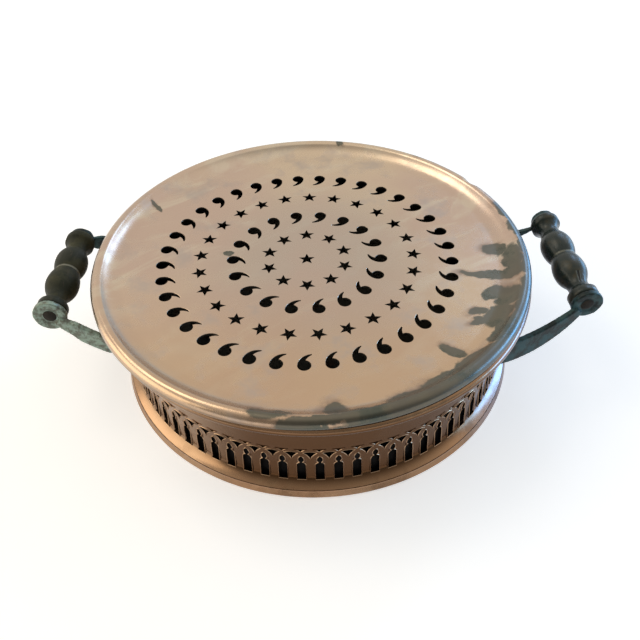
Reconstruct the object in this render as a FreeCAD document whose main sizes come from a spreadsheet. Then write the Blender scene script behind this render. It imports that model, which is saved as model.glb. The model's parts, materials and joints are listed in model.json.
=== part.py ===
import FreeCAD, Part
import math
import os
import re
import Sketcher

# Foot warmer: a pierced copper drum with a loose pierced lid, an ember pan inside,
# and two turned grips on cast arms. The origin is on the drum's axis at the floor.

doc = FreeCAD.newDocument("FootWarmer")

# Driving dimensions, in millimetres, degrees and counts
SIZES = {
    # foot ring and drum floor
    "foot_spread": 8.5,
    "foot_height": 5.2,
    "foot_land": 5.0,
    "foot_gauge": 1.6,
    "floor_gauge": 1.2,
    "floor_lip": 0.5,
    # pierced gallery
    "wall_gauge": 1.2,
    "gallery_height": 40.6,
    "skirt_flare": 6.6,
    "skirt_height": 7.0,
    "bay_count": 72,
    "lancet_width": 6.3,
    "lancet_sill": 4.6,
    "lancet_side": 13.9,
    "neck_width": 2.0,
    "neck_rise": 3.4,
    "neck_round": 1.1,
    "head_width": 4.0,
    "head_rise": 3.0,
    "head_round": 0.9,
    "tip_rise": 3.5,
    "tip_round": 1.25,
    "shield_width": 9.2,
    "shield_drop": 6.6,
    "shield_round": 1.9,
    "shield_top": 31.8,
    "shield_crown": 1.1,
    "gusset_width": 8.0,
    "gusset_drop": 2.6,
    "gusset_round": 5.0,
    "gusset_top": 35.2,
    # sheet liner behind the arcade
    "liner_inset": 3.0,
    "liner_gauge": 1.2,
    "liner_height": 38.0,
    # shoulder and its wired rim
    "rim_circle": 149.75,
    "cove_reach": 12.25,
    "band_height": 13.65,
    "rim_wire_radius": 1.75,
    "wire_fit": 0.45,
    # lid
    "lid_gauge": 1.2,
    "lid_wire_radius": 3.1,
    "lid_cove_run": 16.75,
    "field_drop": 2.3,
    "lid_rest_gap": 0.3,
    "lid_shift": 2.6,
    "collar_play": 4.5,
    "collar_depth": 14.0,
    # piercing of the lid, a little off the lid's centre
    "pattern_shift": 2.7,
    "star_points": 5,
    "star_radius": 5.7,
    "star_waist": 2.3,
    "inner_star_count": 10,
    "inner_star_circle": 28.2,
    "outer_star_count": 25,
    "outer_star_circle": 76.7,
    "outer_star_turn": -2.0,
    "comma_head": 4.4,
    "comma_reach": 9.6,
    "comma_sweep": 4.2,
    "comma_nip": -10,
    "comma_inner_round": 0.85,
    "inner_comma_count": 18,
    "inner_comma_circle": 53.2,
    "inner_comma_turn": 8.3,
    "outer_comma_count": 37,
    "outer_comma_circle": 103.6,
    "outer_comma_turn": 3.5,
    # grips, rods and arms
    "left_stand": 29.6,
    "right_stand": 30.6,
    "grip_length": 84.0,
    "grip_end_radius": 10.6,
    "grip_end_land": 6.0,
    "grip_end_round": 2.0,
    "grip_neck_radius": 7.2,
    "grip_neck_inset": 13.0,
    "grip_bulge_radius": 11.6,
    "grip_bulge_inset": 29.5,
    "grip_lip_radius": 9.4,
    "grip_lip_width": 1.4,
    "grip_groove_radius": 8.8,
    "grip_swell_share": 0.62,
    "rod_radius": 3.0,
    "rod_fit": 0.05,
    "rod_head_radius": 4.6,
    "rod_head_rise": 1.8,
    "end_gap": 0.3,
    "left_splay": 1.6,
    "left_tilt": -2.2,
    "right_splay": 7.0,
    "right_tilt": 3.8,
    "eye_recess_radius": 6.4,
    "eye_recess_depth": 0.8,
    "arm_gauge": 4.0,
    "arm_top_round": 1.6,
    "arm_under_angle": 122,
    "arm_rise": 20.9,
    "arm_root_top": 7.5,
    "right_front_eye": 11.0,
    "right_front_shoulder": 10,
    "right_front_spread": 74.0,
    "right_front_height": 16.0,
    "right_front_belly": 0.95,
    "right_rear_eye": 8.5,
    "right_rear_shoulder": 50,
    "right_rear_spread": 52.0,
    "right_rear_height": 12.0,
    "right_rear_belly": 1.4,
    "left_front_eye": 11.5,
    "left_front_shoulder": 10,
    "left_front_spread": 62.0,
    "left_front_height": 10.5,
    "left_front_belly": 1.8,
    "left_rear_eye": 9.0,
    "left_rear_shoulder": 10,
    "left_rear_spread": 56.0,
    "left_rear_height": 15.0,
    "left_rear_belly": 1.4,
    "solder_gap": 0.05,
    "pad_gauge": 2.2,
    "pad_height": 11.5,
    "pad_sweep": 13.0,
    "rivet_radius": 2.0,
    "rivet_head_radius": 3.6,
    "rivet_head_rise": 1.5,
    "rivet_sweep": 4.3,
    "rivet_seat": 0.1,
    # ember pan on its trivet
    "trivet_inset": 6.0,
    "trivet_width": 12.0,
    "trivet_gauge": 2.0,
    "trivet_leg_radius": 4.0,
    "trivet_leg_height": 4.0,
    "trivet_leg_count": 3,
    "pan_seat_gap": 0.3,
    "pan_inset": 40.5,
    "pan_slope": 17.0,
    "pan_depth": 32.0,
    "pan_gauge": 1.4,
    "pan_flange": 12.0,
    "tab_width": 34.0,
    "tab_reach": 14.0,
    "tab_gauge": 2.2,
    "tab_corner": 10.0,
    "tab_rivet_spread": 10.0,
    # how far a cutter runs past what it cuts
    "overrun": 4.0,
}

# Sizes that follow from the rim's circle, so that the pieces keep together
FOLLOWING = {
    "wall_radius": "rim_circle - cove_reach",
    "foot_radius": "wall_radius + foot_spread",
    "field_radius": "rim_circle - lid_cove_run",
    "left_reach": "rim_circle + left_stand",
    "right_reach": "rim_circle + right_stand",
    "pan_top_radius": "wall_radius - pan_inset",
    "pan_base_radius": "pan_top_radius - pan_slope",
    "trivet_radius": "pan_base_radius - trivet_inset",
}

sheet = doc.addObject("Spreadsheet::Sheet", "Sizes")
for row, (alias, size) in enumerate(SIZES.items(), start=1):
    sheet.set(f"A{row}", alias)
    sheet.set(f"B{row}", str(size))
    sheet.setAlias(f"B{row}", alias)
doc.recompute()

ORIGIN = FreeCAD.Vector(0, 0, 0)
UP = FreeCAD.Vector(0, 0, 1)
LEFT_TURN = 1
RIGHT_TURN = -1
finished = []


# Formulas: plain text in the sheet's own names

def formula(text):
    return re.sub(r"[a-z_]+", lambda found: named(found.group()), text)


def named(word):
    if word in FOLLOWING:
        return f"({formula(FOLLOWING[word])})"
    return "Sizes." + word if word in SIZES else word


def number(text):
    result = sheet.evalExpression(formula(text))
    return float(getattr(result, "Value", result))


def bind(thing, **rules):
    for name, text in rules.items():
        thing.setExpression(name.replace("__", "."), formula(text))
    return thing


def node(thing, label):
    thing.Label = label
    finished.append(thing)
    return thing


# Sketches: closed outlines of lines and arcs, each corner (x, y) with an optional
# (radius, turn) for an arc to the next corner

def arc_between(start, end, radius, turn):
    chord = end - start
    middle = (start + end) * 0.5
    across = FreeCAD.Vector(-chord.y, chord.x, 0).normalize()
    height = math.sqrt(max(radius ** 2 - chord.Length ** 2 / 4, 0))
    centre = middle + across * (height * turn)
    first, last = (start, end) if turn == LEFT_TURN else (end, start)
    angles = [math.atan2(p.y - centre.y, p.x - centre.x) for p in (first, last)]
    return Part.ArcOfCircle(Part.Circle(centre, UP, radius), *angles)


def draw_outline(sketch, corners):
    points = [FreeCAD.Vector(number(c[0]), number(c[1]), 0) for c in corners]
    edges = []
    for index, corner in enumerate(corners):
        start = points[index]
        end = points[(index + 1) % len(points)]
        if len(corner) == 2:
            edge = sketch.addGeometry(Part.LineSegment(start, end))
            edges.append((edge, 1, 2))
        else:
            radius, turn = corner[2:]
            arc = arc_between(start, end, number(radius), turn)
            edge = sketch.addGeometry(arc)
            rule = sketch.addConstraint(Sketcher.Constraint("Radius", edge, number(radius)))
            sketch.setExpression(f"Constraints[{rule}]", formula(radius))
            edges.append((edge, 1, 2) if turn == LEFT_TURN else (edge, 2, 1))
    for index, (edge, first, last) in enumerate(edges):
        following, next_first, _ = edges[(index + 1) % len(edges)]
        sketch.addConstraint(Sketcher.Constraint("Coincident", edge, last, following, next_first))
        for kind, text in zip(("DistanceX", "DistanceY"), corners[index]):
            place = Sketcher.Constraint(kind, -1, 1, edge, first, number(text))
            sketch.setExpression(f"Constraints[{sketch.addConstraint(place)}]", formula(text))


def plane_of(body, role):
    return next(item for item in body.Origin.OriginFeatures if item.Role == role)


# A turned piece: an outline in the body's XZ plane, revolved about Z
def turned(label, corners):
    body = doc.addObject("PartDesign::Body", label)
    sketch = body.newObject("Sketcher::SketchObject", label + "_profile")
    sketch.AttachmentSupport = [(plane_of(body, "XZ_Plane"), "")]
    sketch.MapMode = "FlatFace"
    draw_outline(sketch, corners)
    turning = body.newObject("PartDesign::Revolution", label + "_turning")
    turning.Profile = sketch
    turning.ReferenceAxis = (sketch, ["V_Axis"])
    turning.Angle = 360
    return body


# A block of an outline pushed both ways from its plane
def prism(label, outlines, ahead, behind, placement=None):
    sketch = doc.addObject("Sketcher::SketchObject", label + "_outline")
    for corners in outlines:
        draw_outline(sketch, corners)
    if placement:
        sketch.Placement = placement
    block = doc.addObject("Part::Extrusion", label)
    block.Base = sketch
    block.DirMode = "Normal"
    block.Solid = True
    return bind(block, LengthFwd=ahead, LengthRev=behind)


def cylinder(label, radius, height):
    return bind(doc.addObject("Part::Cylinder", label), Radius=radius, Height=height)


def cut(label, base, tool):
    result = doc.addObject("Part::Cut", label)
    result.Base = base
    result.Tool = tool
    result.Refine = False
    return result


def fuse(label, pieces):
    result = doc.addObject("Part::MultiFuse", label)
    result.Shapes = pieces
    result.Refine = True
    return result


def compound(label, pieces):
    result = doc.addObject("Part::Compound", label)
    result.Links = pieces
    return result


# Copies of one shape at the given angles about the vertical axis
def copies_at(label, shape, angles):
    turned_copies = []
    for angle in angles:
        copy = shape.copy()
        copy.rotate(ORIGIN, UP, angle)
        turned_copies.append(copy)
    group = doc.addObject("Part::Feature", label)
    group.Shape = Part.makeCompound(turned_copies)
    return group


def ring_of(label, cutter, count, turn="0"):
    doc.recompute()
    copies = round(number(count))
    start = number(turn)
    return copies_at(label, cutter.Shape, [start + 360 / copies * index for index in range(copies)])


def mirrored(label, source, normal):
    copy = doc.addObject("Part::Mirroring", label)
    copy.Source = source
    copy.Normal = normal
    return copy


# Levels and radii that several pieces share
GALLERY_FOOT = "(foot_height + floor_gauge)"
GALLERY_TOP = f"({GALLERY_FOOT} + gallery_height)"
COVE_FOOT = f"({GALLERY_TOP} + band_height)"
RIM_CURL = "(rim_wire_radius + wire_fit + wall_gauge)"
RIM_BORE = "(rim_wire_radius + wire_fit)"
RIM_LEVEL = f"({COVE_FOOT} + cove_reach + {RIM_CURL})"
ROLL = "(lid_wire_radius + wire_fit + lid_gauge)"
ROLL_BORE = "(lid_wire_radius + wire_fit)"
FIELD_LEVEL = f"({RIM_LEVEL} + {RIM_CURL} + lid_rest_gap + {ROLL} - field_drop)"
SKIRT_RADIUS = "(wall_radius + skirt_flare)"

# Foot ring: a flared band on a flat turned-in land
node(turned("foot_ring", [
    ("foot_radius - foot_land", "0"),
    ("foot_radius - foot_gauge / 2", "0"),
    ("foot_radius", "foot_gauge"),
    (SKIRT_RADIUS, "foot_height"),
    (f"{SKIRT_RADIUS} - foot_land", "foot_height"),
    (f"{SKIRT_RADIUS} - foot_land", "foot_height - foot_gauge"),
    (f"{SKIRT_RADIUS} - foot_gauge", "foot_height - foot_gauge"),
    ("foot_radius - foot_gauge", "foot_gauge"),
    ("foot_radius - foot_land", "foot_gauge"),
]), "foot_ring")

# Drum floor: a disc seamed between the foot and the gallery, its edge a fine line
node(turned("drum_floor", [
    ("0", "foot_height"),
    (f"{SKIRT_RADIUS} + floor_lip", "foot_height"),
    (f"{SKIRT_RADIUS} + floor_lip", GALLERY_FOOT),
    ("0", GALLERY_FOOT),
]), "drum_floor")

# Gallery: the flared skirt and the straight wall, pierced by an arcade
SKIRT_SWEEP = "((skirt_flare^2 + skirt_height^2) / (2 * skirt_flare))"
gallery_blank = turned("gallery_blank", [
    (SKIRT_RADIUS, GALLERY_FOOT, SKIRT_SWEEP, RIGHT_TURN),
    ("wall_radius", f"{GALLERY_FOOT} + skirt_height"),
    ("wall_radius", GALLERY_TOP),
    ("wall_radius - wall_gauge", GALLERY_TOP),
    ("wall_radius - wall_gauge", f"{GALLERY_FOOT} + skirt_height",
     f"({SKIRT_SWEEP} + wall_gauge)", LEFT_TURN),
    (f"{SKIRT_RADIUS} - wall_gauge", GALLERY_FOOT),
])

# One bay: a keyhole lancet, a shield over the next column, and a gusset over the lancet
SILL = f"({GALLERY_FOOT} + lancet_sill)"
SPRING = f"({SILL} + lancet_side)"
NECK = f"({SPRING} + neck_rise)"
HEAD = f"({NECK} + head_rise)"
TIP = f"({HEAD} + tip_rise)"
NECK_ARC = "(neck_rise * neck_round)"
HEAD_ARC = "(head_rise * head_round)"
TIP_ARC = "(tip_rise * tip_round)"
lancet = [
    ("-lancet_width / 2", SILL),
    ("lancet_width / 2", SILL),
    ("lancet_width / 2", SPRING, NECK_ARC, LEFT_TURN),
    ("neck_width / 2", NECK, HEAD_ARC, LEFT_TURN),
    ("head_width / 2", HEAD, TIP_ARC, LEFT_TURN),
    ("0", TIP, TIP_ARC, LEFT_TURN),
    ("-head_width / 2", HEAD, HEAD_ARC, LEFT_TURN),
    ("-neck_width / 2", NECK, NECK_ARC, LEFT_TURN),
    ("-lancet_width / 2", SPRING),
]
HALF_BAY = "(wall_radius * tan(180 / bay_count))"
SHIELD_TOP = f"({GALLERY_FOOT} + shield_top)"
SHIELD_ARC = "(shield_drop * shield_round)"
CROWN_ARC = "((shield_width^2 / 4 + shield_crown^2) / (2 * shield_crown))"
shield = [
    (f"{HALF_BAY} - shield_width / 2", SHIELD_TOP, SHIELD_ARC, RIGHT_TURN),
    (HALF_BAY, f"{SHIELD_TOP} - shield_drop", SHIELD_ARC, RIGHT_TURN),
    (f"{HALF_BAY} + shield_width / 2", SHIELD_TOP, CROWN_ARC, LEFT_TURN),
]
GUSSET_TOP = f"({GALLERY_FOOT} + gusset_top)"
GUSSET_ARC = "(gusset_drop * gusset_round)"
gusset = [
    ("-gusset_width / 2", GUSSET_TOP, GUSSET_ARC, RIGHT_TURN),
    ("0", f"{GUSSET_TOP} - gusset_drop", GUSSET_ARC, RIGHT_TURN),
    ("gusset_width / 2", GUSSET_TOP),
]
facing_front = FreeCAD.Placement(ORIGIN, FreeCAD.Rotation(FreeCAD.Vector(1, 0, 0), 90))
bay = prism("bay_cutter", [lancet, shield, gusset], SKIRT_RADIUS, "-(wall_radius - overrun)", facing_front)
arcade = ring_of("arcade", bay, "bay_count")
node(cut("drum_gallery", gallery_blank, arcade), "drum_gallery")

# Liner: a plain sheet ring behind the arcade, standing on the floor
LINER_RADIUS = "(wall_radius - liner_inset)"
node(turned("drum_liner", [
    (f"{LINER_RADIUS} - liner_gauge", GALLERY_FOOT),
    (LINER_RADIUS, GALLERY_FOOT),
    (LINER_RADIUS, f"{GALLERY_FOOT} + liner_height"),
    (f"{LINER_RADIUS} - liner_gauge", f"{GALLERY_FOOT} + liner_height"),
]), "drum_liner")

# Shoulder: a plain band, a quarter cove and an edge curled round the rim wire
shoulder_blank = turned("shoulder_blank", [
    ("wall_radius", GALLERY_TOP),
    ("wall_radius", COVE_FOOT, "cove_reach", RIGHT_TURN),
    ("rim_circle", f"{RIM_LEVEL} - {RIM_CURL}", RIM_CURL, LEFT_TURN),
    (f"rim_circle + {RIM_CURL}", RIM_LEVEL, RIM_CURL, LEFT_TURN),
    ("rim_circle", f"{RIM_LEVEL} + {RIM_CURL}", RIM_CURL, LEFT_TURN),
    (f"rim_circle - {RIM_CURL}", RIM_LEVEL),
    (f"rim_circle - {RIM_BORE}", RIM_LEVEL, RIM_BORE, RIGHT_TURN),
    ("rim_circle", f"{RIM_LEVEL} + {RIM_BORE}", RIM_BORE, RIGHT_TURN),
    (f"rim_circle + {RIM_BORE}", RIM_LEVEL, RIM_BORE, RIGHT_TURN),
    ("rim_circle", f"{RIM_LEVEL} - {RIM_BORE}", "(cove_reach + wall_gauge)", LEFT_TURN),
    ("wall_radius - wall_gauge", COVE_FOOT),
    ("wall_radius - wall_gauge", GALLERY_TOP),
])
rim_wire = doc.addObject("Part::Torus", "drum_rim_wire")
bind(rim_wire, Radius1="rim_circle", Radius2="rim_wire_radius", Placement__Base__z=RIM_LEVEL)
node(rim_wire, "drum_rim_wire")

# Where the grips' axes lie: each is splayed and tilted a little, as bent in use
HALF_GRIP = "(grip_length / 2)"
EYE_IN = f"({HALF_GRIP} + end_gap)"
EYE_OUT = f"({EYE_IN} + arm_gauge)"
ROOT_LEVEL = f"({GALLERY_TOP} + band_height / 2)"
GRIP_LEVEL = f"({ROOT_LEVEL} + arm_rise)"


def axis_of(splay, tilt):
    return (f"(sin({splay}) * cos({tilt}))", f"(-cos({splay}) * cos({tilt}))", f"(-sin({tilt}))")


# A place on the axis of a grip on the right, counted from the grip's middle to its front
def axis_point(axis, reach, distance):
    return (f"({reach} + {distance} * {axis[0]})", f"({distance} * {axis[1]})",
            f"({GRIP_LEVEL} + {distance} * {axis[2]})")


def bind_place(thing, point):
    return bind(thing, Placement__Base__x=point[0], Placement__Base__y=point[1], Placement__Base__z=point[2])


def along_axis(axis):
    return FreeCAD.Rotation(UP, FreeCAD.Vector(*[number(part) for part in axis]))


def axis_cylinder(label, axis, reach, start, radius, height):
    piece = cylinder(label, radius, height)
    piece.Placement.Rotation = along_axis(axis)
    return bind_place(piece, axis_point(axis, reach, start))


# Rivets: two through each arm's pad and the band, beside the blade
facing_out = FreeCAD.Rotation(FreeCAD.Vector(0, 1, 0), 90)
rivet_bore = cylinder("rivet_bore", "rivet_radius + rod_fit", "pad_gauge + 2 * overrun")
rivet_bore.Placement.Rotation = facing_out
bind(rivet_bore, Placement__Base__x="wall_radius - overrun", Placement__Base__z=ROOT_LEVEL)
RIVET_OUT = "(wall_radius + solder_gap + pad_gauge + rivet_seat)"
RIVET_IN = "(wall_radius - wall_gauge - rivet_seat)"
RIVET_DOME = "((rivet_head_radius^2 + rivet_head_rise^2) / (2 * rivet_head_rise))"
rivet = turned("arm_rivet", [
    ("0", f"{RIVET_IN} - rivet_head_rise", RIVET_DOME, LEFT_TURN),
    ("rivet_head_radius", RIVET_IN),
    ("rivet_radius", RIVET_IN),
    ("rivet_radius", RIVET_OUT),
    ("rivet_head_radius", RIVET_OUT, RIVET_DOME, LEFT_TURN),
    ("0", f"{RIVET_OUT} + rivet_head_rise"),
])
rivet.Placement.Rotation = facing_out
bind(rivet, Placement__Base__z=ROOT_LEVEL)
doc.recompute()
rivet_step = number("rivet_sweep")


def root_azimuth(corner):
    return number(f"asin({corner}_spread / wall_radius) / 1deg")


def rivet_pair(angle):
    return [angle - rivet_step, angle + rivet_step]


right_angles = rivet_pair(-root_azimuth("right_front")) + rivet_pair(root_azimuth("right_rear"))
left_angles = rivet_pair(180 + root_azimuth("left_front")) + rivet_pair(180 - root_azimuth("left_rear"))
rivet_bores = copies_at("rivet_bores", rivet_bore.Shape, right_angles + left_angles)
node(copies_at("right_arm_rivets", rivet.Shape, right_angles), "right_arm_rivets")
node(copies_at("left_arm_rivets", rivet.Shape, left_angles), "left_arm_rivets")
node(cut("drum_shoulder", shoulder_blank, rivet_bores), "drum_shoulder")


# An arm, drawn as the right front one: a blade from the eye down to a pad on the band
def arm(corner, reach, splay, tilt):
    axis = axis_of(splay, tilt)
    eye = f"{corner}_eye"
    shoulder = f"{corner}_shoulder"
    eye_x, eye_y, eye_z = axis_point(axis, reach, f"({EYE_IN} + arm_gauge / 2)")
    out = f"({eye_x} - sqrt(wall_radius^2 - {corner}_spread^2))"
    aside = f"({corner}_spread + {eye_y})"
    run = f"sqrt({out}^2 + {aside}^2)"
    top = f"({ROOT_LEVEL} - {eye_z} + arm_root_top)"
    blade = prism(f"{corner}_blade", [[
        (f"-{eye} * cos({shoulder})", f"-{eye} * sin({shoulder})", f"({run} * arm_top_round)", RIGHT_TURN),
        (f"-{run}", top),
        (f"-{run} - arm_gauge", top),
        (f"-{run} - arm_gauge", f"{top} - {corner}_height"),
        (f"-{run}", f"{top} - {corner}_height", f"({run} * {corner}_belly)", LEFT_TURN),
        (f"{eye} * cos(arm_under_angle)", f"-{eye} * sin(arm_under_angle)"),
        ("0", "0"),
    ]], "arm_gauge / 2", "arm_gauge / 2")
    blade.Base.Placement.Rotation = FreeCAD.Rotation(number(f"atan2({aside}; {out}) / 1deg"), 0, 90)
    bind_place(blade.Base, (eye_x, eye_y, eye_z))
    disc = axis_cylinder(f"{corner}_disc", axis, reach, EYE_IN, eye, "arm_gauge")
    pad_foot = f"({ROOT_LEVEL} - pad_height / 2)"
    pad_back = "wall_radius + solder_gap"
    pad_outline = doc.addObject("Sketcher::SketchObject", f"{corner}_pad_outline")
    draw_outline(pad_outline, [
        (pad_back, pad_foot),
        (f"{pad_back} + pad_gauge", pad_foot),
        (f"{pad_back} + pad_gauge", f"{pad_foot} + pad_height"),
        (pad_back, f"{pad_foot} + pad_height"),
    ])
    pad_start = -root_azimuth(corner) - number("pad_sweep") / 2
    pad_outline.Placement.Rotation = FreeCAD.Rotation(pad_start, 0, 90)
    pad = doc.addObject("Part::Revolution", f"{corner}_pad")
    pad.Source = pad_outline
    pad.Axis = UP
    pad.Solid = True
    bind(pad, Angle="pad_sweep")
    cutters = compound(f"{corner}_cutters", [
        cylinder(f"{corner}_drum_clearance", pad_back, RIM_LEVEL),
        axis_cylinder(f"{corner}_bore", axis, reach, f"({EYE_IN} - overrun)", "rod_radius + rod_fit",
                      "arm_gauge + 2 * overrun"),
        axis_cylinder(f"{corner}_recess", axis, reach, f"({EYE_OUT} - eye_recess_depth)",
                      "eye_recess_radius", "2 * overrun"),
        axis_cylinder(f"{corner}_grip_clearance", axis, reach, f"({EYE_IN} - 2 * overrun)",
                      "grip_end_radius + overrun", "2 * overrun"),
        copies_at(f"{corner}_rivet_bores", rivet_bore.Shape, rivet_pair(-root_azimuth(corner))),
    ])
    return cut(f"{corner}_drawn", fuse(f"{corner}_whole", [blade, disc, pad]), cutters)


across = FreeCAD.Vector(0, 1, 0)
along = FreeCAD.Vector(1, 0, 0)
node(arm("right_front", "right_reach", "right_splay", "right_tilt"), "right_front_arm")
right_rear = arm("right_rear", "right_reach", "(-right_splay)", "(-right_tilt)")
node(mirrored("right_rear_turned", right_rear, across), "right_rear_arm")
left_front = arm("left_front", "left_reach", "left_splay", "left_tilt")
node(mirrored("left_front_turned", left_front, along), "left_front_arm")
left_rear = mirrored("left_rear_flipped", arm("left_rear", "left_reach", "(-left_splay)", "(-left_tilt)"), across)
node(mirrored("left_rear_turned", left_rear, along), "left_rear_arm")

# Grip: two bulges meeting in a groove, necks, and flared ends, bored for the rod
BULGE_Y = f"({HALF_GRIP} - grip_bulge_inset)"
NECK_Y = f"({HALF_GRIP} - grip_neck_inset)"
KNOB_Y = f"({HALF_GRIP} - grip_end_land)"
SWELL_DROP = "(grip_bulge_radius - grip_neck_radius)"
SWELL_RUN = "(grip_bulge_inset - grip_neck_inset)"
SWELL_SUM = f"(({SWELL_DROP}^2 + {SWELL_RUN}^2) / (2 * {SWELL_DROP}))"
SWELL_ARC = f"({SWELL_SUM} * grip_swell_share)"
EASE_ARC = f"({SWELL_SUM} * (1 - grip_swell_share))"
SLOPE_R = f"(grip_bulge_radius - {SWELL_DROP} * grip_swell_share)"
SLOPE_Y = f"({BULGE_Y} + {SWELL_RUN} * grip_swell_share)"
WAIST_RUN = f"({BULGE_Y} - grip_lip_width)"
WAIST_DROP = "(grip_bulge_radius - grip_lip_radius)"
WAIST_ARC = f"(({WAIST_RUN}^2 + {WAIST_DROP}^2) / (2 * {WAIST_DROP}))"
FLARE_RUN = "(grip_neck_inset - grip_end_land)"
FLARE_RISE = "(grip_end_radius - grip_neck_radius)"
FLARE_ARC = f"(({FLARE_RUN}^2 + {FLARE_RISE}^2) / (2 * {FLARE_RISE}))"
BORE = "(rod_radius + rod_fit)"
grip_profile = [
    (BORE, f"-{HALF_GRIP}"),
    ("grip_end_radius - grip_end_round", f"-{HALF_GRIP}", "grip_end_round", LEFT_TURN),
    ("grip_end_radius", f"-{HALF_GRIP} + grip_end_round"),
    ("grip_end_radius", f"-{KNOB_Y}", FLARE_ARC, RIGHT_TURN),
    ("grip_neck_radius", f"-{NECK_Y}", EASE_ARC, RIGHT_TURN),
    (SLOPE_R, f"-{SLOPE_Y}", SWELL_ARC, LEFT_TURN),
    ("grip_bulge_radius", f"-{BULGE_Y}", WAIST_ARC, LEFT_TURN),
    ("grip_lip_radius", "-grip_lip_width"),
    ("grip_groove_radius", "0"),
    ("grip_lip_radius", "grip_lip_width", WAIST_ARC, LEFT_TURN),
    ("grip_bulge_radius", BULGE_Y, SWELL_ARC, LEFT_TURN),
    (SLOPE_R, SLOPE_Y, EASE_ARC, RIGHT_TURN),
    ("grip_neck_radius", NECK_Y, FLARE_ARC, RIGHT_TURN),
    ("grip_end_radius", KNOB_Y),
    ("grip_end_radius", f"{HALF_GRIP} - grip_end_round", "grip_end_round", LEFT_TURN),
    ("grip_end_radius - grip_end_round", HALF_GRIP),
    (BORE, HALF_GRIP),
]
ROD_HALF = f"({EYE_OUT} - eye_recess_depth + rod_fit)"
ROD_DOME = "((rod_head_radius^2 + rod_head_rise^2) / (2 * rod_head_rise))"
rod_profile = [
    ("0", f"-{ROD_HALF} - rod_head_rise", ROD_DOME, LEFT_TURN),
    ("rod_head_radius", f"-{ROD_HALF}"),
    ("rod_radius", f"-{ROD_HALF}"),
    ("rod_radius", ROD_HALF),
    ("rod_head_radius", ROD_HALF, ROD_DOME, LEFT_TURN),
    ("0", f"{ROD_HALF} + rod_head_rise"),
]
for side, sign in (("left", "-"), ("right", "")):
    out, ahead, rise = axis_of(f"{side}_splay", f"{side}_tilt")
    for piece, profile in (("grip", grip_profile), ("grip_rod", rod_profile)):
        body = node(turned(f"{side}_{piece}", profile), f"{side}_{piece}")
        body.Placement.Rotation = along_axis((f"{sign}{out}", ahead, rise))
        bind_place(body, (f"{sign}{side}_reach", "0", GRIP_LEVEL))

# Lid: a flat field, a cove up to a wired roll, and the piercing
LID_COVE = f"((lid_cove_run^2 + field_drop^2 - {ROLL}^2) / (2 * ({ROLL} + field_drop)))"
MEET = f"({LID_COVE} / ({LID_COVE} + {ROLL}))"
UNDER_MEET = f"(({LID_COVE} + lid_gauge) / ({LID_COVE} + {ROLL}))"
lid_blank = turned("lid_blank", [
    ("0", "-lid_gauge"),
    ("field_radius", "-lid_gauge", f"({LID_COVE} + lid_gauge)", LEFT_TURN),
    (f"field_radius + lid_cove_run * {UNDER_MEET}",
     f"{LID_COVE} + (field_drop - {LID_COVE}) * {UNDER_MEET}", ROLL_BORE, RIGHT_TURN),
    ("rim_circle", f"field_drop + {ROLL_BORE}", ROLL_BORE, RIGHT_TURN),
    (f"rim_circle + {ROLL_BORE}", "field_drop", ROLL_BORE, RIGHT_TURN),
    ("rim_circle", f"field_drop - {ROLL_BORE}"),
    ("rim_circle", f"field_drop - {ROLL}", ROLL, LEFT_TURN),
    (f"rim_circle + {ROLL}", "field_drop", ROLL, LEFT_TURN),
    ("rim_circle", f"field_drop + {ROLL}", ROLL, LEFT_TURN),
    (f"field_radius + lid_cove_run * {MEET}",
     f"{LID_COVE} + (field_drop - {LID_COVE}) * {MEET}", LID_COVE, RIGHT_TURN),
    ("field_radius", "0"),
    ("0", "0"),
])


def star(circle):
    corners = []
    points = round(number("star_points"))
    for tip in range(points):
        for reach, turn in (("star_radius", tip), ("star_waist", tip + 0.5)):
            angle = 360 * turn / points
            corners.append((f"-{reach} * sin({angle})", f"{circle} + {reach} * cos({angle})"))
    return corners


# A comma with its round head outwards and its tail hooking back towards the centre
def comma(circle):
    hook = "((comma_reach^2 + (comma_head + comma_sweep)^2) / (2 * (comma_head + comma_sweep)))"
    return [
        ("comma_head", circle, "comma_head", LEFT_TURN),
        ("0", f"{circle} + comma_head", "comma_head", LEFT_TURN),
        ("-comma_head", circle, "comma_head", LEFT_TURN),
        ("comma_head * sin(comma_nip)", f"{circle} - comma_head * cos(comma_nip)",
         f"({hook} * comma_inner_round)", RIGHT_TURN),
        ("-comma_sweep", f"{circle} - comma_reach", hook, LEFT_TURN),
    ]


def lid_holes(label, corners, count, turn="0"):
    cutter = prism(label + "_cutter", [corners], "overrun", "lid_gauge + overrun")
    return ring_of(label, cutter, count, turn)


piercing = compound("piercing", [
    lid_holes("centre_star", star("0"), "1"),
    lid_holes("inner_stars", star("inner_star_circle"), "inner_star_count"),
    lid_holes("outer_stars", star("outer_star_circle"), "outer_star_count", "outer_star_turn"),
    lid_holes("inner_commas", comma("inner_comma_circle"), "inner_comma_count", "inner_comma_turn"),
    lid_holes("outer_commas", comma("outer_comma_circle"), "outer_comma_count", "outer_comma_turn"),
])
bind(piercing, Placement__Base__x="-pattern_shift")
lid_plate = node(cut("lid_plate", lid_blank, piercing), "lid_plate")
bind(lid_plate, Placement__Base__x="-lid_shift", Placement__Base__z=FIELD_LEVEL)

lid_wire = doc.addObject("Part::Torus", "lid_rim_wire")
bind(lid_wire, Radius1="rim_circle", Radius2="lid_wire_radius",
     Placement__Base__x="-lid_shift", Placement__Base__z=f"{FIELD_LEVEL} + field_drop")
node(lid_wire, "lid_rim_wire")

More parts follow.
